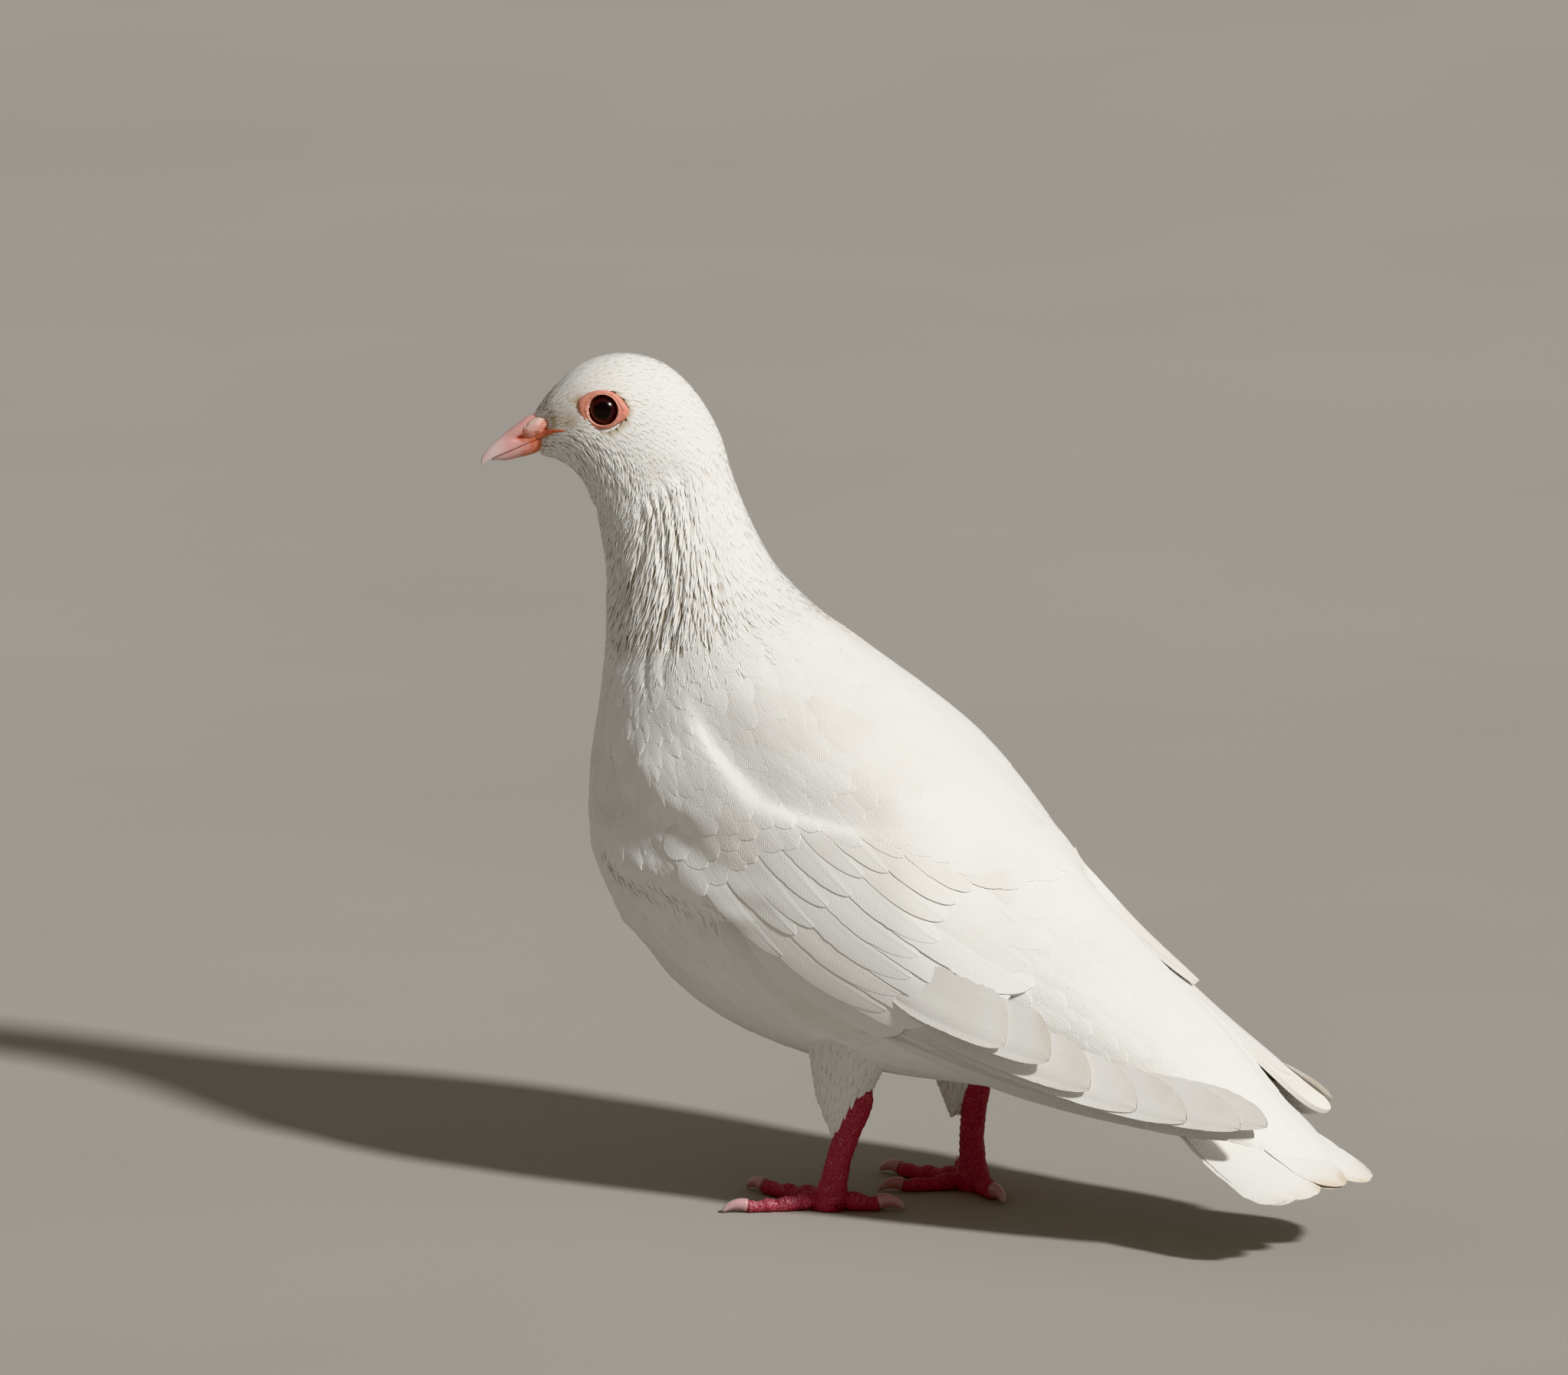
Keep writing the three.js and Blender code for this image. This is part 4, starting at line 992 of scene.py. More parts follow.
def feather_material(name):
    """Plumage for one kind of feather, made once and then shared."""
    if name in bpy.data.materials:
        return bpy.data.materials[name]
    s = bpy.context.scene.pigeon_plumage
    root, reach, strand, barb, pitch, strength = FEATHERS[name]
    material, n, shader = new_material(name, 0.62, Sheen_Weight=0.25, Sheen_Roughness=0.45)
    tint = n.group(shared_group("Feather Tint", feather_tint_group), Clean=rgba(s.white),
                   Root=rgba(getattr(s, root)), Stain=rgba(s.stain_and_shade_colour), Root_Reach=reach)
    fibre = n.group(shared_group("Feather Fibre", feather_fibre_group), Strand=strand, Barb=barb,
                    Pitch=pitch)
    n.link(tint.outputs["Color"], shader.inputs["Base Color"])
    raise_surface(n, shader, fibre.outputs["Height"], strength, distance=0.0003)
    return material


def skin_material():
    """Down between the feathers, with the coat's own marks and its painted shade under the belly."""
    s = bpy.context.scene.pigeon_plumage
    material, n, shader = new_material("down", 0.8, Sheen_Weight=0.3)
    tufts = n.noise(n.place(), scale=900.0, detail=4.0, roughness=0.6)
    shade = n.blend(n.ramp(tufts, 0.3, 0.7), rgba(s.down_and_root_shade), rgba(s.white))
    marked_and_shaded = n.blend(n.times(n.attribute("stain_and_shade"), 0.8), shade, rgba(s.stain_and_shade_colour))
    n.link(marked_and_shaded, shader.inputs["Base Color"])
    raise_surface(n, shader, tufts, strength=0.6, distance=0.0005)
    return material


def bill_material():
    """Pale pink horn that turns orange-red round the nostril and towards the mouth's corner."""
    s = bpy.context.scene.pigeon_head
    material, n, shader = new_material("bill_horn", 0.38, Subsurface_Weight=0.12, Subsurface_Scale=0.001)
    grain = n.group(shared_group("Skin Grain", skin_grain_group), Pore_Scale=1600.0, Fold_Scale=420.0)
    patchy = n.plus(n.attribute("warm"), n.times(n.math("SUBTRACT", grain.outputs["Raised"], 0.5), 0.35))
    base = n.blend(n.ramp(patchy, 0.25, 0.8), rgba(s.bill_colour), rgba(s.gape_colour))
    pale = n.blend(n.ramp(n.attribute("pale"), 0.2, 0.9), base, rgba(s.bill_tip_colour))
    n.link(pale, shader.inputs["Base Color"])
    n.link(n.plus(n.times(grain.outputs["Raised"], 0.12), 0.3), shader.inputs["Roughness"])
    raise_surface(n, shader, grain.outputs["Height"], strength=0.12, distance=0.0002)
    return material


def bare_skin_material(name, colour, deep, roughness, pore, fold, bump, powder=None):
    """Bare skin with folds: lids, cere or gape."""
    material, n, shader = new_material(name, roughness, Subsurface_Weight=0.15, Subsurface_Scale=0.0008)
    grain = n.group(shared_group("Skin Grain", skin_grain_group), Pore_Scale=pore, Fold_Scale=fold)
    tone = n.blend(grain.outputs["Raised"], rgba(deep), rgba(colour))
    if powder:
        tone = n.blend(n.ramp(n.attribute("powder"), 0.1, 0.9), tone, rgba(powder))
    n.link(tone, shader.inputs["Base Color"])
    raise_surface(n, shader, grain.outputs["Height"], bump, distance=0.0003)
    return material


def eye_material():
    """A dark wet eye: black pupil, maroon iris with fine rays, darker at the rim."""
    s = bpy.context.scene.pigeon_head
    material, n, shader = new_material("wet_eye", 0.12, Coat_Weight=0.8, Coat_Roughness=0.2, IOR=1.36,
                                       Specular_IOR_Level=0.3)
    ring, ray = n.attribute("ring"), n.attribute("ray")
    streak = n.noise(n.place(), scale=1800.0, detail=3.0)
    rays = n.ramp(n.plus(streak, n.times(ray, 0.25)), 0.3, 0.8)
    iris = n.blend(rays, rgba(s.eye_colour), rgba(s.iris_colour))
    inner = n.blend(n.ramp(ring, 0.5, 0.64), rgba(PUPIL_COLOUR), iris)
    n.link(n.blend(n.ramp(ring, 0.82, 0.98), inner, rgba(s.eye_colour)), shader.inputs["Base Color"])
    return material


def leg_material():
    """Crimson scaled skin, paler and dusty on the raised scales."""
    s = bpy.context.scene.pigeon_legs
    material, n, shader = new_material("scaled_leg", 0.5, Subsurface_Weight=0.08, Subsurface_Scale=0.0008)
    place = n.place()
    plates = n.node("ShaderNodeTexVoronoi", feature="DISTANCE_TO_EDGE")
    n.link(n.scaled(place, (1.0, 1.0, 0.8)), plates.inputs["Vector"])
    plates.inputs["Scale"].default_value = 1150.0
    raised = n.ramp(plates.outputs["Distance"], 0.0, 0.2)
    worn = n.ramp(n.noise(place, scale=420.0, detail=4.0, roughness=0.65), 0.5, 0.72)
    flesh = n.blend(raised, rgba(s.leg_deep_colour), rgba(s.leg_colour))
    band = n.times(n.ramp(n.attribute("band"), 0.5, 1.0), 0.45)
    dusty = n.times(n.plus(n.times(worn, raised), band), 0.5, clamp=True)
    n.link(n.blend(dusty, flesh, rgba(s.dust_colour)), shader.inputs["Base Color"])
    n.link(n.plus(n.times(dusty, 0.3), 0.42), shader.inputs["Roughness"])
    raise_surface(n, shader, raised, strength=0.35, distance=0.0002)
    return material


def claw_material():
    """Horn with growth lines, pale at the base and darker at the point."""
    s = bpy.context.scene.pigeon_legs
    material, n, shader = new_material("claw_horn", 0.32, Coat_Weight=0.2)
    lines = n.noise(n.place(), scale=1500.0, detail=3.0)
    tone = n.blend(n.ramp(n.attribute("along"), 0.3, 1.0), rgba(s.claw_colour), rgba(s.claw_tip_colour))
    lined = n.blend(n.times(n.ramp(lines, 0.45, 0.7), 0.35), tone, rgba(s.leg_colour))
    n.link(lined, shader.inputs["Base Color"])
    raise_surface(n, shader, lines, strength=0.15, distance=0.0002)
    return material


def floor_material():
    """A plain floor, faintly clouded."""
    s = bpy.context.scene.pigeon_stage
    material, n, shader = new_material("studio_floor", 0.85)
    cloud = n.ramp(n.noise(n.place(), scale=3.0, detail=3.0), 0.3, 0.7)
    pale = tuple(c * 1.06 for c in s.floor_colour)
    n.link(n.blend(cloud, rgba(s.floor_colour), rgba(pale)), shader.inputs["Base Color"])
    grain = n.noise(n.place(), scale=500.0, detail=3.0)
    raise_surface(n, shader, grain, strength=0.08, distance=0.0005)
    return material


# ---- settings ----


def colour_setting(name, description, value):
    return FloatVectorProperty(name=name, description=description, default=value, subtype="COLOR", min=0,
                               max=1)


def size_setting(name, description, value, high=60.0):
    return FloatProperty(name=name, description=description + ", in millimetres", default=value, min=0.1,
                         max=high)


class PigeonPlumageSettings(PropertyGroup):
    """Sizes and colours of the feathers."""

    white: colour_setting("White", "Clean outer feathers", (0.87, 0.865, 0.845))
    # The down's own grey on the skin, also painted as shade at the roots of coat and flight feathers.
    down_and_root_shade: colour_setting("Down", "Downy roots between the feathers", (0.8, 0.775, 0.73))
    shadow: colour_setting("Hackle roots", "Shaded roots of the neck hackles", (0.56, 0.47, 0.35))
    # Also tints the underside of breast and belly as painted shade.
    stain_and_shade_colour: colour_setting("Stain", "Dust and ochre marks", (0.56, 0.42, 0.26))
    crown_length: size_setting("Crown feather", "Length of a crown feather", 4.2)
    hackle_length: size_setting("Hackle", "Length of a neck hackle's free tip", 9.5)
    hackle_half: size_setting("Hackle half width", "Half the width of a hackle", 0.66, 5)
    back_length: size_setting("Back feather", "Length of a feather of the back", 20.0)
    breast_length: size_setting("Breast feather", "Length of a feather of the breast", 15.0)
    seed: IntProperty(name="Seed", description="Start of the steady random draw", default=7, min=0)


class PigeonHeadSettings(PropertyGroup):
    """Colours of the bill and the eyes."""

    bill_colour: colour_setting("Bill", "Horn of the bill", (0.78, 0.45, 0.42))
    bill_tip_colour: colour_setting("Bill tip", "Pale horn of the bill's tip", (0.84, 0.64, 0.63))
    gape_colour: colour_setting("Gape", "Bare skin of nostril and mouth's corner", (0.7, 0.22, 0.14))
    cere_colour: colour_setting("Cere", "Powdery skin over the nostrils", (0.78, 0.45, 0.4))
    lid_colour: colour_setting("Lid", "Bare ring round the eye", (0.68, 0.24, 0.16))
    lid_rim_colour: colour_setting("Lid rim", "Pale inner rim of the lid", (0.7, 0.36, 0.29))
    eye_colour: colour_setting("Eye", "Darkest part of the eye", (0.02, 0.01, 0.012))
    iris_colour: colour_setting("Iris", "Rays of the iris", (0.065, 0.022, 0.026))


class PigeonLegSettings(PropertyGroup):
    """Colours of the legs and the claws."""

    leg_colour: colour_setting("Leg", "Raised scales of the leg", (0.45, 0.11, 0.145))
    leg_deep_colour: colour_setting("Between scales", "Skin between the scales", (0.28, 0.052, 0.075))
    dust_colour: colour_setting("Dust", "Worn and dusty scales", (0.66, 0.38, 0.36))
    claw_colour: colour_setting("Claw", "Base of a claw", (0.56, 0.36, 0.36))
    claw_tip_colour: colour_setting("Claw tip", "Point of a claw", (0.6, 0.47, 0.46))


class PigeonStageSettings(PropertyGroup):
    """The floor, the lights and the camera."""

    floor_colour: colour_setting("Floor", "Plain pale floor", (0.4, 0.38, 0.35))
    azimuth: FloatProperty(name="Azimuth", description="Camera's turn round the bird",
                           default=math.radians(31), subtype="ANGLE")
    elevation: FloatProperty(name="Elevation", description="Camera's height over the horizon",
                             default=math.radians(11.3), subtype="ANGLE")
    distance: FloatProperty(name="Distance", description="From the camera to the bird", default=6.0,
                            unit="LENGTH")
    width: FloatProperty(name="Width", description="Width of the view at the bird", default=0.4542,
                         unit="LENGTH")
    key: FloatProperty(name="Key light", description="Strength of the key light", default=3.2, min=0)
    softness: FloatProperty(name="Softness", description="Apparent width of the key light",
                            default=math.radians(5), subtype="ANGLE")
    fill: FloatProperty(name="Fill", description="Strength of the soft light all round", default=0.27,
                        min=0)


# ---- skin ----


def off_lid(points, side, margin):
    """How far points lie off a lid, whose edge is at 1 when it is widened by margin, and how far out."""
    centre, rear, above, out = eye_axes(side)
    local = points - centre
    x, y, z = dot(local, rear) + LID["ahead"], dot(local, above), dot(local, out)
    return np.hypot(x / (LID["long"] + margin), y / (LID["high"] + margin)), z


def sink_sockets(points):
    """Presses the skin in behind each eye and its lids."""
    points = points.copy()
    for side in SIDES.values():
        off, out = off_lid(points, side, -0.6)
        near = (1 - ease(off, 0.75, 1.05)) * (out > EYE_REACH)
        points -= eye_axes(side)[3] * (near * np.maximum(out + SOCKET_DEEP, 0))[..., None]
    return points


def body_shell():
    """The skin from bill to tail, and the rib position and degrees of each of its points."""
    rows = np.concatenate([np.linspace(0, 6, 110, endpoint=False), np.linspace(6, 11, 90, endpoint=False),
                           np.linspace(11, LAST_RIB, 120)])
    at, around = np.meshgrid(rows, np.arange(0, 360, 2), indexing="ij")
    angle = np.abs(folded(around))
    clear = (1 - ease(at, 15.5, 16.5)) * (1 - ease(angle, 86, 98) * ease(at, 13, 14))
    points = sink_sockets(body(at, around, clear * wing_mound(at, angle) - coat_depth(at)))
    places = np.stack([at, around], -1).reshape(-1, 2)
    return loft(points), places


def tail_flesh():
    """The flattened flesh that holds the tail feathers."""
    a = turns(32)
    rings = []
    for x, z, half, high in TAIL_FLESH:
        bow = 0.3 * half * (1 - np.cos(np.arcsin(np.sin(a))))
        rings.append(np.stack([x + 0.45 * high * np.cos(a), 0.95 * half * np.sin(a),
                               z + 0.85 * high * np.cos(a) - bow], -1))
    return loft(np.array(rings))


def thigh_shell(foot):
    """The skin of a thigh."""
    surface = thigh_surface(foot)
    height, around = np.meshgrid(np.linspace(0, 0.97, 26), np.arange(0, 360, 10), indexing="ij")
    return loft(surface(height, around, -0.9))


class PIGEON_OT_skin(Operator):
    """Build the skin of down under the coat, one piece from the bill to the tail"""

    bl_idname = "pigeon.skin"
    bl_label = "Skin"

    def execute(self, context):
        shell, places = body_shell()
        points, faces = join(shell, tail_flesh(), *(thigh_shell(foot) for foot in FEET.values()))
        obj = make_object("body_skin", points, faces, skin_material())
        spare = np.tile([[LAST_RIB + 1.0, 0.0]], (len(points) - len(places), 1))
        places = np.concatenate([places, spare])
        set_map(obj, "OFBake", body_patch(places))
        set_value(obj, "stain_and_shade", stain_and_shade_at(places[:, 0], places[:, 1]))
        settle(obj, "plumage", "head", "neck", "torso", "thigh_left", "thigh_right")
        return {"FINISHED"}


# ---- body coat ----


def clear_of_face(roots):
    """Which roots lie clear of the eyes, the bill and the cere."""
    points = body(roots[:, 0], roots[:, 1], 0.0)
    angle = np.abs(folded(roots[:, 1]))
    clear = roots[:, 0] > 0.85 * bell(angle, 78, 26)
    for side in SIDES.values():
        off, out = off_lid(points, side, 0.2)
        clear &= (off > 1) | (out < EYE_REACH)
    return clear


class PIGEON_OT_head_coat(Operator):
    """Build the short feathers of the crown, cheeks and chin"""

    bl_idname = "pigeon.head_coat"
    bl_label = "Head feathers"

    def execute(self, context):
        s = context.scene.pigeon_plumage
        coat = Coat(s.seed)
        rng = coat.rng
        roots = roots_over(body, (0.12, 5.9), (-180, 180), row=1.25, column=1.1, rng=rng)
        roots = roots[clear_of_face(roots)]
        count = len(roots)
        degrees = folded(roots[:, 1])
        angle = np.abs(degrees)
        rough = ease(angle, 84, 112) * ease(roots[:, 0], 0.6, 2.0)
        front = ease(roots[:, 0], 0.1, 1.6)
        length = mix(s.crown_length, 5.8, rough) * mix(0.5, 1, front) * vary(rng, 0.15, count)
        sweep = np.sign(degrees) * -mix(14, 26, rough) * ease(angle, 50, 95) * (1 - ease(angle, 140, 175))
        tips = tips_from(body, roots, length, sweep + rng.normal(0, 1, count) * mix(2.5, 7, rough))
        tips, central = clumped(roots, tips, 9.0, 0.5, 0.55 * rough, 81)
        half = mix(1.0, 0.5, rough) * vary(rng, 0.15, count) * mix(0.6, 1, front)
        tip_lift = mix(0.0, 0.42 * central - 0.1, rough) + rng.uniform(-0.02, 0.03, count)
        coat.lay(body, roots, tips, half, (mix(-0.25, -0.8, rough), tip_lift), "lock", rows=5, lanes=3,
                 camber=mix(0.06, 0.6, rough)[:, None, None], wave=0.25 * rough[:, None], thick=0.06,
                 rise=0.6, roll=rng.normal(0, 0.02, count))
        coat.build("head_feathers", feather_material("hackle_feathers"), "plumage")
        return {"FINISHED"}


def hackle_end(angle):
    """Rib position where the neck's hackles give way to the body's feathers."""
    return np.interp(angle, (0, 25, 60, 100, 140, 180), (10.3, 10.7, 10.8, 10.3, 9.7, 9.3))


class PIGEON_OT_neck_hackles(Operator):
    """Build the narrow hackles that run down the neck in furrows"""

    bl_idname = "pigeon.neck_hackles"
    bl_label = "Neck hackles"

    def execute(self, context):
        s = context.scene.pigeon_plumage
        coat = Coat(s.seed + 1)
        rng = coat.rng
        roots = roots_over(body, (5.0, 10.6), (-180, 180), row=2.2, column=1.08, rng=rng, jitter=0.35)
        angle = np.abs(folded(roots[:, 1]))
        roots = roots[roots[:, 0] < hackle_end(angle) - 0.4 + 0.1 * rng.normal(0, 1, len(roots))]
        count = len(roots)
        degrees = folded(roots[:, 1])
        crisp = ruffled(roots[:, 0], np.abs(degrees))
        length = s.hackle_length * mix(0.75, 1, ease(roots[:, 0], 5, 7)) * vary(rng, 0.25, count)
        sweep = np.sign(degrees) * -mix(24, 7, ease(roots[:, 0], 5, 7.2)) * bell(np.abs(degrees), 105, 45)
        tips = tips_from(body, roots, length, sweep + rng.normal(0, 1, count) * mix(2, 4.5, crisp))
        tips, central = clumped(roots, tips, 6.6, 0.6, 0.6 * crisp, 91)
        half = s.hackle_half * mix(1.7, 1, crisp) * vary(rng, 0.25, count)
        uneven = rng.uniform(-0.05, 0.1, count) * mix(0.2, 1, crisp)
        tip_lift = mix(0, 0.42 * central - 0.14, crisp) + uneven
        coat.lay(body, roots, tips, half, (mix(-0.3, -0.8, crisp), tip_lift), "lock", rows=6, lanes=3,
                 camber=mix(0.06, 0.75, crisp)[:, None, None], wave=0.3 * crisp[:, None], thick=0.1,
                 roll=rng.normal(0, 0.1, count) * mix(0.1, 1, crisp))
        coat.build("neck_hackles", feather_material("hackle_feathers"), "plumage")
        return {"FINISHED"}


class PIGEON_OT_body_coat(Operator):
    """Build the smooth feathers of the back and the softer ones of breast and belly"""

    bl_idname = "pigeon.body_coat"
    bl_label = "Body feathers"

    def execute(self, context):
        s = context.scene.pigeon_plumage
        self.back(s)
        self.breast(s)
        return {"FINISHED"}

    def back(self, s):
        coat = Coat(s.seed + 2)
        rng = coat.rng
        roots = roots_over(body, (9.7, 20.9), (-100, 100), row=6.0, column=6.4, rng=rng)
        angle = np.abs(folded(roots[:, 1]))
        under_wing = (angle > 62) & (roots[:, 0] > 12.6) & (roots[:, 0] < 15.6)
        roots = roots[(roots[:, 0] > hackle_end(angle) - 1.1) & ~under_wing]
        count = len(roots)
        size = mix(0.8, 1.2, ease(roots[:, 0], 10, 14))
        length = s.back_length * size * vary(rng, 0.08, count)
        tips = tips_from(body, roots, length, rng.normal(0, 2, count))
        half = 5.8 * size * vary(rng, 0.08, count)
        lifts = (-0.35, 0.02 + rng.uniform(-0.02, 0.04, count))
        coat.lay(body, roots, tips, half, lifts, "contour", rows=9, lanes=7, camber=0.035, ragged=0.04,
                 skirt=1.0, rise=0.5, roll=rng.normal(0, 0.004, count))
        coat.build("back_feathers", feather_material("coat_feathers"), "plumage")

    def breast(self, s):
        rng = np.random.default_rng(s.seed + 3)
        roots = np.concatenate([roots_over(body, (9.0, 20.2), ends, row=4.6, column=4.0, rng=rng)
                                for ends in ((70, 180), (-180, -70))])
        degrees = folded(roots[:, 1])
        angle = np.abs(degrees)
        open_breast = (angle > crease(roots[:, 0]) - 2) & (roots[:, 0] < 13.6)
        roots = roots[(roots[:, 0] > hackle_end(angle) - 0.9) & (open_breast | (angle > 96))]
        count = len(roots)
        degrees = folded(roots[:, 1])
        angle = np.abs(degrees)
        soft = ease(angle, 84, 115)
        length = s.breast_length * vary(rng, 0.15, count) * mix(0.8, 1.15, ease(roots[:, 0], 9, 13))
        off_crease = angle - crease(roots[:, 0])
        along_crease = np.sign(degrees) * 16 * bell(off_crease, 0, 20) * (roots[:, 0] < 13.6)
        tips = tips_from(front_cover, roots, length, along_crease + rng.normal(0, 4, count))
        tips, central = clumped(roots, tips, 11.0, 0.7, 0.3 * soft, 101)
        half = mix(4.6, 4.0, soft) * rng.uniform(0.9, 1.15, count)
        lift = mix(0.0, 0.2 * central - 0.08, soft) + rng.uniform(-0.02, 0.03, count)
        roll = rng.normal(0, 0.01, count)
        for name, side in SIDES.items():
            mine = degrees * side <= 0
            coat = Coat(s.seed + 40 + side)
            coat.lay(front_cover, roots[mine], tips[mine], half[mine], (-0.35, lift[mine]), "loose", rows=8,
                     lanes=7, camber=0.06, ragged=0.14, skirt=1.2, rise=0.5, roll=roll[mine], wave=0.2)
            self.hanging_ends(coat, side)
            coat.build(f"breast_feathers_{name}", feather_material("coat_feathers"), "plumage")

    def hanging_ends(self, coat, side):
        """Wispy ends of the breast's feathers, which hang over the shaded belly."""
        rng = coat.rng
        count = 420
        at = rng.uniform(12.3, 16.2, count)
        roots = np.stack([at, -side * (fringe(at) - rng.uniform(4, 14, count))], -1)
        heading = side * (rng.uniform(8, 30, count) + 12 * lattice(np.floor(at * 3), np.zeros(count), 111))
        tips = tips_from(front_cover, roots, rng.uniform(7, 13, count), heading)
        tips, central = clumped(roots, tips, 5.0, 0.35, 0.7, 112)
        half = rng.uniform(0.6, 1.2, count)
        coat.lay(front_cover, roots, tips, half, (-0.3, 0.08 + 0.25 * central), "lock", rows=7, lanes=3,
                 camber=0.2, wave=0.5, thick=0.08)


class PIGEON_OT_thigh_coat(Operator):
    """Build the hanging feathers of both thighs"""

    bl_idname = "pigeon.thigh_coat"
    bl_label = "Thigh feathers"

    def execute(self, context):
        s = context.scene.pigeon_plumage
        coat = Coat(s.seed + 4)
        rng = coat.rng
        for foot in FEET.values():
            surface = thigh_surface(foot)
            roots = roots_over(surface, (0.0, 0.88), (0, 360), row=2.2, column=2.0, rng=rng)
            count = len(roots)
            length = mix(9.5, 5.5, roots[:, 0]) * vary(rng, 0.15, count)
            room = (1.04 - roots[:, 0]) * 42
            length = np.minimum(length, np.maximum(room, 2.5))
            tips = tips_from(surface, roots, length, rng.normal(0, 5, count))
            tips[:, 0] = np.minimum(tips[:, 0], 1.06)
            half = mix(1.5, 0.9, roots[:, 0]) * vary(rng, 0.2, count)
            lifts = (-0.8, 0.15 + rng.uniform(-0.1, 0.15, count))
            patch = np.stack([0.02 + 0.96 * roots[:, 1] / 360, 0.96 + 0.03 * roots[:, 0]], -1)
            coat.lay(surface, roots, tips, half, lifts, "loose", rows=6, lanes=5, camber=0.3, ragged=0.2,
                     wave=0.2, skirt=1.0, patch=patch, stain_and_shade=np.full((count, 1, 1), 0.1))
        coat.build("thigh_feathers", feather_material("coat_feathers"), "plumage")
        return {"FINISHED"}


# ---- wings ----

# Tiers of long wing feathers: count, root and tip rib, angles of tips and of roots from lowest to
# highest, half width, surface they lie on, heights of root and of lowest and highest tip, how the
# tips' line departs from one rib, roll and outline.
WING_TIERS = (
    {"count": 6, "root": 14.2, "tip": 16.25, "angles": (112, 99), "roots": (102, 93), "half": 5.6,
     "over": plain_body, "lifts": (-1.2, 5.3, 5.6), "sweep": lambda t: 0.2 * t, "roll": 0.12,
     "form": "flight"},
    {"count": 3, "root": 13.7, "tip": 16.9, "angles": (48, 24), "roots": (50, 27), "half": 8.6,
     "over": wing_cover, "lifts": (-0.9, 0.1, 0.1), "sweep": lambda t: -0.55 * t, "roll": 0.03,
     "form": "flight"},
    {"count": 6, "root": 14.0, "tip": 17.1, "angles": (95, 56), "roots": (93, 60), "half": 8.0,
     "over": wing_cover, "lifts": (-1.0, -0.2, 0.1), "sweep": lambda t: -0.35 * (1 - t) ** 2, "roll": 0.1,
     "form": "flight"},
    {"count": 8, "root": 12.6, "tip": 16.4, "angles": (90, 40), "roots": (84, 42), "half": 6.8,
     "over": wing_cover, "lifts": (-0.6, 0.2, 0.2), "sweep": lambda t: -1.0 * t, "roll": 0.07,
     "form": "covert"},
    {"count": 9, "root": 11.9, "tip": 15.0, "angles": (93, 42), "roots": (90, 44), "half": 5.8,
     "over": wing_cover, "lifts": (-0.4, 0.35, 0.35), "sweep": lambda t: -0.5 * t, "roll": 0.05,
     "form": "covert"},
)


def wing_tier(coat, side, tier):
    """One tier of feathers laid over the folded wing, lowest feather first."""
    rng = coat.rng
    count = tier["count"]
    t = np.arange(count) / (count - 1)
    root_lift, low_lift, high_lift = tier["lifts"]
    jitter = rng.uniform(-1, 1, (3, count))
    roots = np.stack([np.full(count, tier["root"]), -side * mix(*tier["roots"], t)], -1)
    reach = tier["tip"] + tier["sweep"](t) + 0.08 * jitter[0]
    tips = np.stack([reach, -side * (mix(*tier["angles"], t) + 0.8 * jitter[1])], -1)
    lifts = (root_lift + 0.0 * t, mix(low_lift, high_lift, t) + 0.06 * jitter[2])
    coat.lay(tier["over"], roots, tips, tier["half"], lifts, tier["form"], rows=34, lanes=13,
             camber=0.03, roll=side * tier["roll"], ragged=0.02, notch=0.05, skirt=1.6, rise=0.6, ridge=0.1)


def bent(a, b, c, t):
    """A point on the curve from a towards b to c."""
    a, b, c = (np.asarray(p, float)[None] for p in (a, b, c))
    t = np.asarray(t)[:, None]
    return mix(mix(a, b, t), mix(b, c, t), t)


def far_wing(along, across, lift=0.0):
    """The right wing's top: 0 to 1 from front to tip, and 0, 1, 2 on its inner, outer and side lines."""
    along, across = np.broadcast_arrays(np.asarray(along, float), np.asarray(across, float))
    inner, outer, side = (bent(*line, along.ravel()).reshape(*along.shape, 3)
                          for line in (FAR_INNER, FAR_OUTER, FAR_SIDE))
    top = across[..., None] < 1
    points = np.where(top, mix(inner, outer, across[..., None]), mix(outer, side, across[..., None] - 1))
    ahead = outer[..., :1] * 0 + np.array([0.72, 0.1, -0.68])
    beside = np.where(top, outer - inner, side - outer)
    return points + unit(np.cross(ahead, beside)) * np.asarray(lift + 0 * along)[..., None]


def add_primary(coat, side, k):
    """A primary of the folded hand, the outermost first."""
    last = len(HAND_TIPS) - 1
    share = k / last
    shift = np.array(FAR_TIP_SHIFT) * share if side > 0 else np.zeros(3)
    root_x, root_z = (mix(HAND_ROOT_TOP[i], HAND_ROOT_LOW[i], share) for i in range(2))
    tip_x, tip_out, tip_z = HAND_TIPS[k]
    root = np.array([root_x, side * (HAND_ROOT_OUT + HAND_STACK * (last - k)), root_z])
    tip = np.array([tip_x, side * tip_out, tip_z]) + shift
    bend = mix(root, tip, 0.42) + np.array([0, side * mix(*HAND_BOW, share), -mix(*HAND_SAG, share)])
    t = stations(48, 1.5)
    facing = mix(np.array([0.04, 0.97 * side, 0.2]), np.array([0.06, 0.92 * side, 0.36]), share)
    up = unit(mix(np.array([0.03, side, 0.12]), facing, t[:, None]))
    coat.blade(bent(root, bend, tip, t), up, PRIMARY_OUTER, mix(*PRIMARY_INNER, share), -side, "primary",
               roll=8, falls=(-0.1, 0.3), dusty=0.3, patch=(0.3 + 0.4 * share, 0.8))


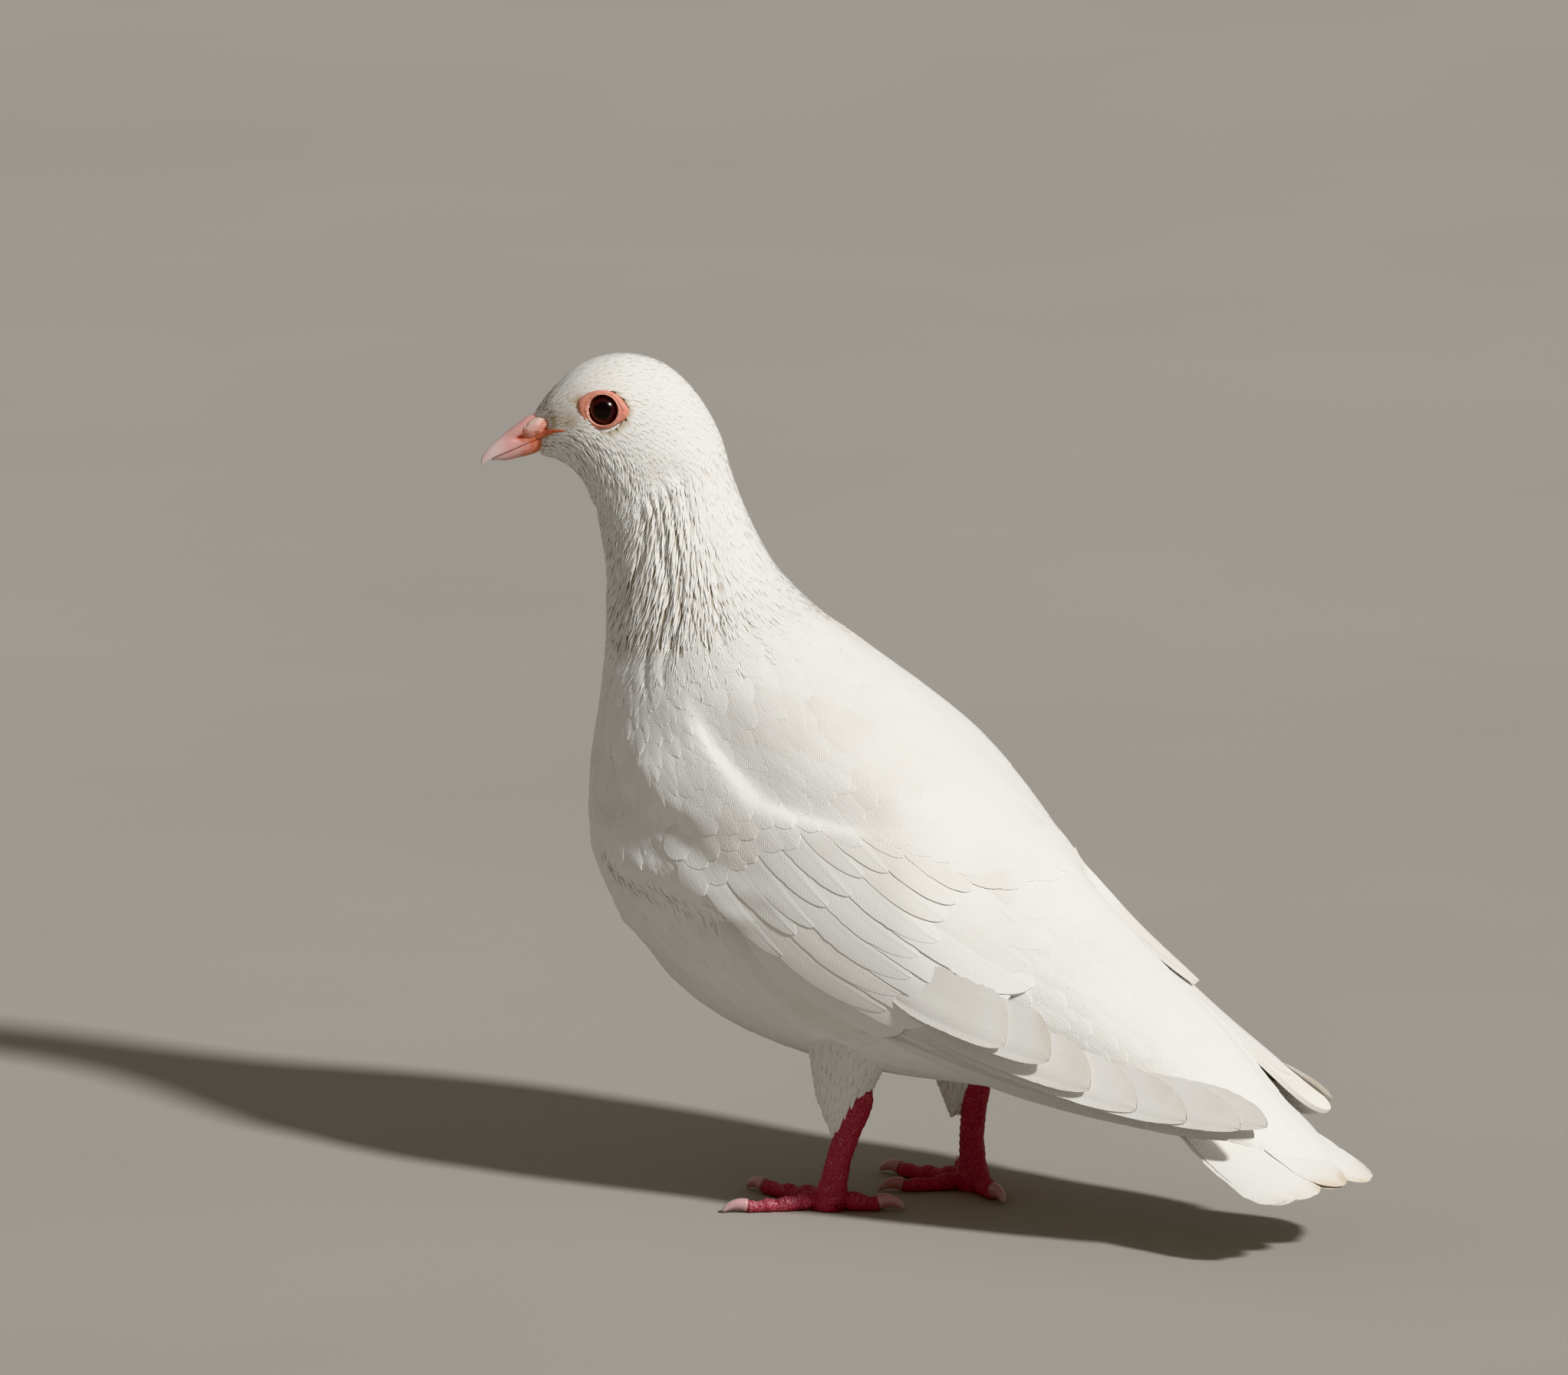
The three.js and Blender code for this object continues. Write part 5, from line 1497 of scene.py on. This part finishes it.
# Long feathers over the right wing, the lowest first: along and across at root and at tip, half
# width, and heights of root and tip.
FAR_VANES = (
    (0.05, 1.9, 0.9, 1.85, 7, -8, -1.8), (0, 1.6, 0.86, 1.55, 7.5, -8, -1.6),
    (-0.05, 1.3, 0.78, 1.3, 7, -8, -1.4), (0.26, 0.5, 0.99, 0.5, 6.2, -5, -0.6),
    (0.12, 0.42, 0.84, 0.42, 5.2, -6, -0.2), (-0.1, 0.3, 0.46, 0.38, 4.2, -9, 0.1),
)


class PIGEON_OT_wings(Operator):
    """Build both folded wings: coverts, scapulars, secondaries, tertials and primaries"""

    bl_idname = "pigeon.wings"
    bl_label = "Wings"

    def execute(self, context):
        s = context.scene.pigeon_plumage
        for name, side in SIDES.items():
            long = Coat(s.seed + 20 + side)
            for k in range(len(HAND_TIPS)):
                add_primary(long, side, k)
            for tier in WING_TIERS:
                wing_tier(long, side, tier)
            if side > 0:
                self.far_edge(long)
            material = feather_material("flight_feathers")
            long.build(f"flight_feathers_{name}", material, "plumage", f"wing_{name}")
            small = Coat(s.seed + 30 + side)
            self.coverts(small, side)
            self.scapulars(small, side)
            small.build(f"wing_coverts_{name}", feather_material("coat_feathers"), "plumage")
        return {"FINISHED"}

    def far_edge(self, coat):
        """Long feathers of the right wing that lie over the rump's right side."""
        vanes = np.array(FAR_VANES)
        count = len(vanes)
        coat.lay(far_wing, vanes[:, :2], vanes[:, 2:4], vanes[:, 4], (vanes[:, 5], vanes[:, 6]), "flight",
                 rows=40, lanes=13, camber=0.05, rise=0.7, ridge=0.1, notch=0.03, skirt=1.6,
                 patch=np.full((count, 2), 0.85), stain_and_shade=np.full((count, 1, 1), 0.12))

    def coverts(self, coat, side):
        """Small smooth coverts over the shoulder of the wing."""
        rng = coat.rng
        ends = sorted((-side * 24, -side * 99))
        roots = roots_over(wing_cover, (11.8, 13.1), ends, row=5.0, column=6.0, rng=rng)
        roots = roots[(np.abs(roots[:, 1]) < 88) | (roots[:, 0] > 12.6)]
        count = len(roots)
        size = mix(0.8, 1.15, ease(roots[:, 0], 12, 14))
        tips = tips_from(wing_cover, roots, 15 * size * vary(rng, 0.08, count), rng.normal(0, 2, count))
        half = 5.4 * size * vary(rng, 0.08, count)
        lifts = (-0.25, mix(0.05, 0.45, ease(roots[:, 0], 11.8, 13)) + rng.uniform(-0.02, 0.04, count))
        coat.lay(wing_cover, roots, tips, half, lifts, "contour", rows=9, lanes=7, camber=0.03, ragged=0.04,
                 skirt=1.4, rise=0.5, roll=side * 0.012 + rng.normal(0, 0.003, count))

    def scapulars(self, coat, side):
        """Broad smooth feathers from the shoulder over the top of the wing."""
        rng = coat.rng
        ends = sorted((-side * 2, -side * 76))
        roots = roots_over(wing_cover, (10.9, 14.7), ends, row=6.0, column=7.0, rng=rng)
        angle = np.abs(roots[:, 1])
        room = crease(roots[:, 0]) - angle
        roots = roots[room > 1]
        room = room[room > 1]
        count = len(roots)
        size = mix(0.85, 1.2, ease(roots[:, 0], 11, 13.6))
        heading = -side * 20 * bell(room, 0, 24) * ease(roots[:, 0], 11, 12)
        tips = tips_from(wing_cover, roots, 19 * size * vary(rng, 0.08, count),
                         heading + rng.normal(0, 2, count))
        half = mix(3.6, 6.6, ease(room, 2, 16)) * size * vary(rng, 0.08, count)
        lifts = (-0.25, 0.5 * ease(roots[:, 0], 11, 13) + 0.02 + rng.uniform(-0.02, 0.04, count))
        coat.lay(wing_cover, roots, tips, half, lifts, "contour", rows=10, lanes=9, camber=0.03,
                 ragged=0.04, skirt=1.6, rise=0.5, roll=rng.normal(0, 0.004, count))


# ---- tail ----


def add_rectrix(coat, side, k):
    """A tail feather, the middle one first."""
    out, drop, tilt, shorter, root_out, root_drop, inner_fall = TAIL_VANES[side][k]
    tip = np.array([TAIL_TIP[0] - shorter, side * out, TAIL_TIP[1] - drop + shorter * 0.55])
    root = np.array([TAIL_ROOT[0], side * root_out, TAIL_ROOT[1] - root_drop])
    bend = mix(root, tip, 0.5) - np.array([0, 0, 1])
    t = stations(46, 1.5)
    tilt = side * np.radians(tilt + 0 * t)
    up = unit(np.stack([0.49 * np.cos(tilt), np.sin(tilt), 0.87 * np.cos(tilt)], -1))
    inner = min(RECTRIX_HALF, out + 2.5)
    coat.blade(bent(root, bend, tip, t), up, RECTRIX_HALF - 0.5 * k, inner, -side, "rectrix",
               falls=(1.5, inner_fall), dusty=0.5, patch=(0.4 + 0.02 * k * side, 0.9))


class PIGEON_OT_tail(Operator):
    """Build the twelve tail feathers and the coverts over and under them"""

    bl_idname = "pigeon.tail"
    bl_label = "Tail"

    def execute(self, context):
        s = context.scene.pigeon_plumage
        coat = Coat(s.seed + 40)
        for k in reversed(range(6)):
            for side in SIDES.values():
                add_rectrix(coat, side, k)
        coat.build("tail_feathers", feather_material("flight_feathers"), "plumage", "tail")
        covers = Coat(s.seed + 41)
        rng = covers.rng
        for low, high, length, lift in ((-100, 100, 18, 0.06), (95, 265, 18, 0.4)):
            roots = roots_over(body, (19.4, 20.95), (low, high), row=4.6, column=6.0, rng=rng)
            count = len(roots)
            tips = tips_from(body, roots, length * vary(rng, 0.1, count), rng.normal(0, 4, count))
            half = 5.6 * vary(rng, 0.1, count)
            lifts = (-0.6, lift + rng.uniform(-0.05, 0.1, count))
            covers.lay(body, roots, tips, half, lifts, "contour", rows=10, lanes=7, camber=0.05,
                       ragged=0.06, skirt=1.2)
        covers.build("tail_coverts", feather_material("coat_feathers"), "plumage")
        return {"FINISHED"}


# ---- head pieces ----


def mouth_height(x):
    """Height of the line between the halves of the bill."""
    return np.minimum(BILL_TIP[1] + MOUTH_RISE * (x - BILL_TIP[0]), MOUTH_CORNER_Z)


def bill_half(top):
    """Half of the bill as a closed shell; top is 1 for the upper and -1 for the lower half."""
    tip_x = BILL_TIP[0] + (0 if top > 0 else HOOK)
    rows, count = 40, 40
    t = np.linspace(0, 1, rows) ** 1.3
    x = tip_x + (BILL_ROOT_X - tip_x) * t
    half = BILL_HALF * (0.14 + 0.86 * np.sin(math.pi / 2 * np.minimum(t * 1.25, 1)) ** 0.8)
    droop = 0.9 * (1 - ease(t, 0, 0.14)) if top > 0 else 0 * t
    seam = mouth_height(x) + top * 0.12 - droop
    if top > 0:
        high = 0.5 + (CULMEN_HIGH - 0.5) * np.minimum(t * 2, 1) ** 0.55
        high = high + droop
    else:
        high = np.minimum(LOWER_BILL["tip"] + LOWER_BILL["swell"] * t, LOWER_BILL["root"])
        high = high * (0.55 + 0.45 * ease(t, 0, 0.2))
    a = np.linspace(0, math.pi, count)
    rings = np.stack([
        np.broadcast_to(x[:, None], (rows, count)),
        half[:, None] * np.cos(a),
        seam[:, None] + top * high[:, None] * np.sin(a) ** 0.8,
    ], -1)
    base = rings[:, ::-1].copy()
    base[..., 2] = seam[:, None] - top * 0.02 + 0 * a
    ring = np.concatenate([rings, base[:, 1:-1]], 1)
    if top < 0:
        ring = ring[:, ::-1]
    return ring


def nostril_hollow(points):
    """Presses the slit of each nostril into the upper bill."""
    moved = points.copy()
    tilt = math.radians(NOSTRIL["tilt"])
    x, z = points[..., 0] - NOSTRIL["x"], points[..., 2] - NOSTRIL["z"]
    along = x * math.cos(tilt) + z * math.sin(tilt)
    across = -x * math.sin(tilt) + z * math.cos(tilt)
    slit = bell(along, -0.4, 1.8) * bell(across, 0, 0.42)
    lip = bell(along, 0.6, 2.6) * bell(across, 1.5, 1.0)
    moved[..., 1] -= np.sign(points[..., 1]) * (1.3 * slit - 0.45 * lip)
    return moved, slit


class PIGEON_OT_bill(Operator):
    """Build the two halves of the bill, the cere and the bare corner of the mouth"""

    bl_idname = "pigeon.bill"
    bl_label = "Bill and cere"

    def execute(self, context):
        s = context.scene.pigeon_head
        horn = bill_material()
        for name, top in (("bill_upper", 1), ("bill_lower", -1)):
            ring = bill_half(top)
            slit = 0 * ring[..., 0]
            if top > 0:
                ring, slit = nostril_hollow(ring)
            x, z = ring[..., 0].copy(), ring[..., 2].copy()
            warm = ease(x, -127, -117) * (0.85 if top > 0 else 0.75) + 0.5 * slit
            warm = warm * (1 - 0.55 * ease(z - mouth_height(x), 3.5, 7)) if top > 0 else warm
            pale = (1 - ease(x, -132, -121)) * 0.95
            make_piece(f"{name}_horn", loft(turned(ring)), horn, "bill", name, warm=np.clip(warm, 0, 1),
                       pale=np.clip(pale, 0, 1))
        self.cere(s)
        self.gape(s)
        return {"FINISHED"}

    def cere(self, s):
        """Two swollen lobes over the nostrils, powdery and wrinkled."""
        shells, powder = [], []
        around, down = np.meshgrid(np.linspace(0, 2 * math.pi, 48, endpoint=False),
                                   np.linspace(0.04, math.pi - 0.04, 30), indexing="xy")
        sphere = np.stack([np.cos(down), np.sin(down) * np.cos(around), np.sin(down) * np.sin(around)], -1)
        for side in SIDES.values():
            ball = sphere * (1 + 0.05 * noise(sphere[..., 0] * 5, sphere[..., 2] * 4, 51)[..., None])
            ball = ball * np.array([CERE["length"], CERE["half"], CERE["height"]])
            tilt = math.radians(CERE["tilt"])
            x = ball[..., 0] * math.cos(tilt) - ball[..., 2] * math.sin(tilt)
            z = ball[..., 0] * math.sin(tilt) + ball[..., 2] * math.cos(tilt)
            placed = np.stack([CERE["x"] + x, side * CERE["out"] + ball[..., 1], CERE["z"] + z], -1)
            patchy = 1.2 * noise(ball[..., 0] * 0.9, ball[..., 2] * 1.1, 52)
            powder.append((0.6 * ease(ball[..., 2] + patchy, -1.2, 2.2)).ravel())
            shells.append(loft(turned(placed)))
        material = bare_skin_material("cere_skin", s.cere_colour, s.gape_colour, roughness=0.75,
                                      pore=2600.0, fold=900.0, bump=0.35, powder=CERE_POWDER)
        make_piece("cere_lobes", join(*shells), material, "cere", "cere", powder=np.concatenate(powder))

    def gape(self, s):
        """The bare orange skin that runs from the bill's corner to under the eye."""
        material = bare_skin_material("gape_skin", s.gape_colour, s.lid_colour, roughness=0.5,
                                      pore=2200.0, fold=800.0, bump=0.4)
        shells = []
        for side in SIDES.values():
            t = np.linspace(0, 1, 26)
            at = mix(-0.5, 1.45, t)
            degrees = -side * mix(86, 97, t)
            line = body(at, degrees, mix(0.9, -0.1, ease(t, 0, 0.6)))
            normal = body_normal(at, degrees)
            ahead = unit(np.gradient(line, axis=0))
            across = np.cross(normal, ahead)
            a = turns(14)
            wide = 0.85 * np.sin(math.pi * np.clip(t * 0.8 + 0.18, 0, 1)) ** 0.8 + 0.05
            rings = (line[:, None] + across[:, None] * (wide[:, None] * np.cos(a))[..., None]
                     + normal[:, None] * (0.35 * wide[:, None] * np.sin(a))[..., None])
            shells.append(loft(rings))
        make_piece("gape", join(*shells), material, "eyelid")


class PIGEON_OT_eyes(Operator):
    """Build the eyes and the bare lid rings round them"""

    bl_idname = "pigeon.eyes"
    bl_label = "Eyes and lids"

    def execute(self, context):
        s = context.scene.pigeon_head
        wet = eye_material()
        lid_skin = bare_skin_material("lid_skin", s.lid_colour, s.lid_rim_colour, roughness=0.55,
                                      pore=2400.0, fold=900.0, bump=0.5, powder=s.lid_rim_colour)
        for name, side in SIDES.items():
            self.ball(side, name, wet)
            self.lid(side, name, lid_skin)
        return {"FINISHED"}

    def ball(self, side, name, material):
        """A flattened ball, ringed from the pupil outwards on its outer half."""
        centre, rear, above, out = eye_axes(side)
        down, around = np.meshgrid(np.linspace(0.02, math.pi - 0.02, 48), turns(64), indexing="ij")
        radius = EYE["radius"] * np.sin(down)
        x, y = radius * np.cos(around), radius * np.sin(around)
        z = EYE["half_thick"] * np.cos(down)
        points = centre + x[..., None] * rear + y[..., None] * above + z[..., None] * out
        if side > 0:
            points = points[:, ::-1]
        ring = np.where(z > 0, radius / EYE["radius"], 1.0)
        ray = np.sin(around * 23) * 0.5 + 0.5 * np.sin(around * 41 + 1)
        make_piece(f"eyeball_{name}", loft(points), material, "eye", f"eye_{name}", ring=ring, ray=ray)

    def lid(self, side, name, material):
        """An oval fleshy ring, drawn to a corner at the rear, with a pale inner rim."""
        centre, rear, above, out = eye_axes(side)
        profile = np.array(LID_PROFILE)
        a = turns(96)
        corner = 1.25 * np.exp(-(((folded(np.degrees(a) - 8)) / 20) ** 2))
        front = 0.7 * np.exp(-(((folded(np.degrees(a) - 195)) / 26) ** 2))
        oval = 1 / np.sqrt((np.cos(a) / LID["long"]) ** 2 + (np.sin(a) / LID["high"]) ** 2)
        outer = oval + corner + front
        inner = EYE["radius"] + 0.12 - 0.1 * np.cos(2 * a)
        share, height = profile[:, :1], profile[:, 1:]
        radius = mix(inner, outer, share)
        crinkle = noise(a[None] / (2 * math.pi) * 34 + 0 * share, share * 5, 61, 34)
        height = height + 0.16 * crinkle * ease(share, 0.05, 0.4) * (1 - ease(share, 0.9, 1.02))
        x = radius * np.cos(a) - LID["ahead"] * share
        y = radius * np.sin(a)
        points = centre + x[..., None] * rear + y[..., None] * above + height[..., None] * out
        if side > 0:
            points = points[:, ::-1]
        rows = np.concatenate([points, points[:1]], 0)
        rim = np.concatenate([share, share[:1]], 0)[::-1] + 0 * a
        make_piece(f"lid_{name}", loft(rows[::-1], caps=False), material, "eyelid", f"eyelid_{name}",
                   powder=0.7 * (1 - ease(rim, 0.02, 0.16)))


# ---- legs ----


def tube_rings(centres, along, radii, count, widen, floor):
    """Rings across a direction, flattened where they would go under the floor."""
    along = unit(along)
    upright = np.array([0.0, 0.0, 1.0])
    flat = np.cross(along, upright)
    steep = np.abs(along[:, 2]) > 0.9
    flat[steep] = np.array([0.0, 1.0, 0.0])
    flat = unit(flat)
    rise = np.cross(flat, along)
    a = turns(count, 0.5)
    points = (centres[:, None] + flat[:, None] * (widen * radii * np.sin(a))[..., None]
              + rise[:, None] * (radii * np.cos(a))[..., None])
    points[..., 2] = np.maximum(points[..., 2], floor)
    return points


def saw(x):
    """A repeating scale profile, rising slowly and ending in a step."""
    share = x - np.floor(x)
    return share * (1 - ease(share, 0.86, 1.0))


def under_foot(foot):
    """The point of the floor under a foot's middle."""
    return np.array([foot["x"], foot["y"], 0.0])


def shank_rings(foot):
    """The shank from its pad to inside the thigh, with broad scales in front."""
    base = under_foot(foot)
    ankle = np.array(foot["ankle"], float)
    t = np.concatenate([np.linspace(0, 0.12, 10, endpoint=False), np.linspace(0.12, 1.1, 110)])
    knots = np.array([
        (0, PAD_RADIUS * 0.86), (0.05, PAD_RADIUS), (0.13, PAD_RADIUS * 0.9),
        (0.24, SHANK_RADIUS * 1.12), (0.45, SHANK_RADIUS), (0.75, SHANK_RADIUS * 1.02),
        (0.9, SHANK_RADIUS * 1.18), (1.02, SHANK_RADIUS * 1.12), (1.1, SHANK_RADIUS * 0.7),
    ])
    radius = np.interp(t, knots[:, 0], knots[:, 1])
    radius = np.convolve(np.pad(radius, 4, mode="edge"), np.ones(9) / 9, "valid")
    centres = base + (ankle - base) * t[:, None]
    centres[:, 0] -= SHANK_BOW * ease(t, 0, 0.55)
    along = np.broadcast_to(unit(ankle - base), centres.shape).copy()
    along[t < 0.08] = (0, 0, 1)
    count = 48
    a = turns(count, 0.5)
    # Rings start behind the shank, and its scaled front faces the other way.
    front = ease(np.cos(a + math.pi), 0.1, 0.75)[None, :]
    scutes = saw(t * 15 - 0.2)[:, None] * front * SHANK_SCUTE
    knobs = 0.16 * noise(a[None] / (2 * math.pi) * 22, t[:, None] * 34, 71, 22) * (1 - front)
    radii = radius[:, None] + scutes + knobs - 0.15
    points = tube_rings(centres, along, radii, count, widen=0.9, floor=0.0)
    return points, np.broadcast_to(scutes / SHANK_SCUTE, radii.shape)


def toe_rings(foot, name):
    """A toe with its knuckles, scaled above and padded below, its direction and how far it reaches."""
    length, radius, _, knuckles = TOES[name]
    heading = math.radians(foot["heading"][name])
    ahead = np.array([math.cos(heading), math.sin(heading), 0.0])
    t = np.linspace(0, 1, 84)
    swell = 1 + 0.09 * np.cos(2 * math.pi * t * knuckles)
    r = mix(radius * 1.1, radius * 0.72, t) * swell
    height = mix(3.4, r * 0.82, np.minimum(t * 2.2, 1))
    reach = length + PAD_RADIUS * 0.6
    centres = under_foot(foot) + ahead * mix(1.5, reach, t)[:, None]
    centres[:, 2] = height
    count = 32
    a = turns(count, 0.5)
    top = ease(np.cos(a), -0.1, 0.6)[None, :]
    scutes = saw(t * (length / 1.75))[:, None] * top * TOE_SCUTE
    pads = 0.22 * np.abs(np.sin(math.pi * t * (length / 3.2)))[:, None] * (1 - top)
    end = 1 - 0.35 * ease(t, 0.93, 1.0)[:, None]
    radii = (r[:, None] + scutes + pads - 0.12) * end
    points = tube_rings(centres, np.broadcast_to(ahead, centres.shape), radii, count, widen=1.0, floor=0.0)
    return points, np.broadcast_to(scutes / TOE_SCUTE, radii.shape), ahead, reach


def claw_rings(foot, name, ahead, reach):
    """A claw in one arch from the end of its toe to the floor."""
    _, radius, length, _ = TOES[name]
    t = np.linspace(0, 1, 22)
    bend = np.radians(mix(14, -40, t))
    r = radius * 0.78 * (1 - t) ** 0.65 + 0.12
    arch = np.sin(np.radians(CLAW_ARCH * t)) / math.sin(math.radians(CLAW_ARCH))
    out = reach - 0.5 + (length + 0.5) * arch
    centres = under_foot(foot) + ahead * out[:, None]
    height = mix(radius * 0.85, 0.35, t**1.8) + 1.1 * np.sin(math.pi * t) * (1 - t)
    centres[:, 2] = np.maximum(height, r + 0.06)
    along = ahead * np.cos(bend)[:, None] + np.array([0, 0, 1.0]) * np.sin(bend)[:, None]
    points = tube_rings(centres, along, r[:, None], 20, widen=0.85, floor=0.02)
    return points, np.broadcast_to(t[:, None], points.shape[:2])


class PIGEON_OT_legs(Operator):
    """Build the scaled shanks, toes and claws"""

    bl_idname = "pigeon.legs"
    bl_label = "Legs and claws"

    def execute(self, context):
        scaled, horn = leg_material(), claw_material()
        for name, foot in FEET.items():
            rings, band = shank_rings(foot)
            make_piece(f"scaled_shank_{name}", loft(rings), scaled, "leg", f"shank_{name}", band=band)
            for toe in TOES:
                rings, band, ahead, reach = toe_rings(foot, toe)
                make_piece(f"scaled_{toe}_{name}", loft(rings), scaled, "leg", f"{toe}_{name}", band=band)
                claw = toe.replace("toe", "claw")
                rings, along = claw_rings(foot, toe, ahead, reach)
                make_piece(f"horn_{claw}_{name}", loft(rings), horn, "claw", f"{claw}_{name}", along=along)
        return {"FINISHED"}


# ---- stage ----


def add_key_light(way, middle, strength, softness):
    """One broad even light from far off; way points from the bird to the light."""
    data = bpy.data.lights.new("key", "SUN")
    data.energy, data.angle, data.color = strength, softness, KEY_COLOUR
    light = bpy.data.objects.new("key", data)
    light.location = middle + way * 2
    light.rotation_euler = (-way).to_track_quat("-Z", "Y").to_euler()
    bpy.context.scene.collection.objects.link(light)


class PIGEON_OT_stage(Operator):
    """Lay the pale floor, hang the soft lights and place the camera"""

    bl_idname = "pigeon.stage"
    bl_label = "Stage"

    def execute(self, context):
        s = context.scene.pigeon_stage
        corners = ((-1, -1), (1, -1), (1, 1), (-1, 1))
        points = np.array([(x * FLOOR_HALF, y * FLOOR_HALF, FLOOR_LEVEL) for x, y in corners], float)
        floor = make_object("floor", points, [np.array([[0, 1, 2, 3]])], floor_material(), smooth=False)
        azimuth, elevation = s.azimuth, s.elevation
        back = Vector((math.sin(azimuth) * math.cos(elevation), -math.cos(azimuth) * math.cos(elevation),
                       math.sin(elevation)))
        right = Vector((math.cos(azimuth), math.sin(azimuth), 0))
        middle = Vector(to_frame(VIEW_MIDDLE))
        camera_data = bpy.data.cameras.new("camera")
        camera_data.sensor_width = SENSOR
        camera_data.lens = SENSOR * s.distance / s.width
        camera = bpy.data.objects.new("camera", camera_data)
        camera.location = middle + back * s.distance
        camera.rotation_euler = (-back).to_track_quat("-Z", "Y").to_euler()
        context.scene.collection.objects.link(camera)
        context.scene.camera = camera
        level_back = Vector((back.x, back.y, 0)).normalized()
        axes = (right, level_back, Vector((0, 0, 1)))
        key_way = sum((axis * share for axis, share in zip(axes, KEY_WAY)), Vector()).normalized()
        add_key_light(key_way, middle, s.key, s.softness)
        world = bpy.data.worlds.new("soft_room")
        world.use_nodes = True
        shade = world.node_tree.nodes["Background"]
        shade.inputs["Color"].default_value = rgba(FILL_COLOUR)
        shade.inputs["Strength"].default_value = s.fill
        context.scene.world = world
        context.scene.view_settings.view_transform = "Khronos PBR Neutral"
        return {"FINISHED"}


# ---- add-on ----

SETTINGS = {
    "pigeon_plumage": PigeonPlumageSettings,
    "pigeon_head": PigeonHeadSettings,
    "pigeon_legs": PigeonLegSettings,
    "pigeon_stage": PigeonStageSettings,
}
STEPS = (
    PIGEON_OT_skin, PIGEON_OT_head_coat, PIGEON_OT_neck_hackles, PIGEON_OT_body_coat, PIGEON_OT_thigh_coat,
    PIGEON_OT_wings, PIGEON_OT_tail, PIGEON_OT_bill, PIGEON_OT_eyes, PIGEON_OT_legs, PIGEON_OT_stage,
)


class PIGEON_PT_panel(Panel):
    """List the settings and the steps that build the pigeon"""

    bl_idname = "PIGEON_PT_panel"
    bl_label = "White Pigeon"
    bl_space_type = "VIEW_3D"
    bl_region_type = "UI"
    bl_category = "Pigeon"

    def draw(self, context):
        for settings in SETTINGS:
            box = self.layout.box()
            group = getattr(context.scene, settings)
            for name in group.bl_rna.properties.keys():
                if name not in ("rna_type", "name"):
                    box.prop(group, name)
        for step in STEPS:
            self.layout.operator(step.bl_idname)


def register():
    for cls in (*SETTINGS.values(), *STEPS, PIGEON_PT_panel):
        bpy.utils.register_class(cls)
    for name, cls in SETTINGS.items():
        setattr(bpy.types.Scene, name, PointerProperty(type=cls))


def unregister():
    for name in SETTINGS:
        delattr(bpy.types.Scene, name)
    for cls in reversed((*SETTINGS.values(), *STEPS, PIGEON_PT_panel)):
        bpy.utils.unregister_class(cls)


def main():
    register()
    for step in STEPS:
        group, name = step.bl_idname.split(".")
        getattr(getattr(bpy.ops, group), name)()


if __name__ == "__main__":
    main()
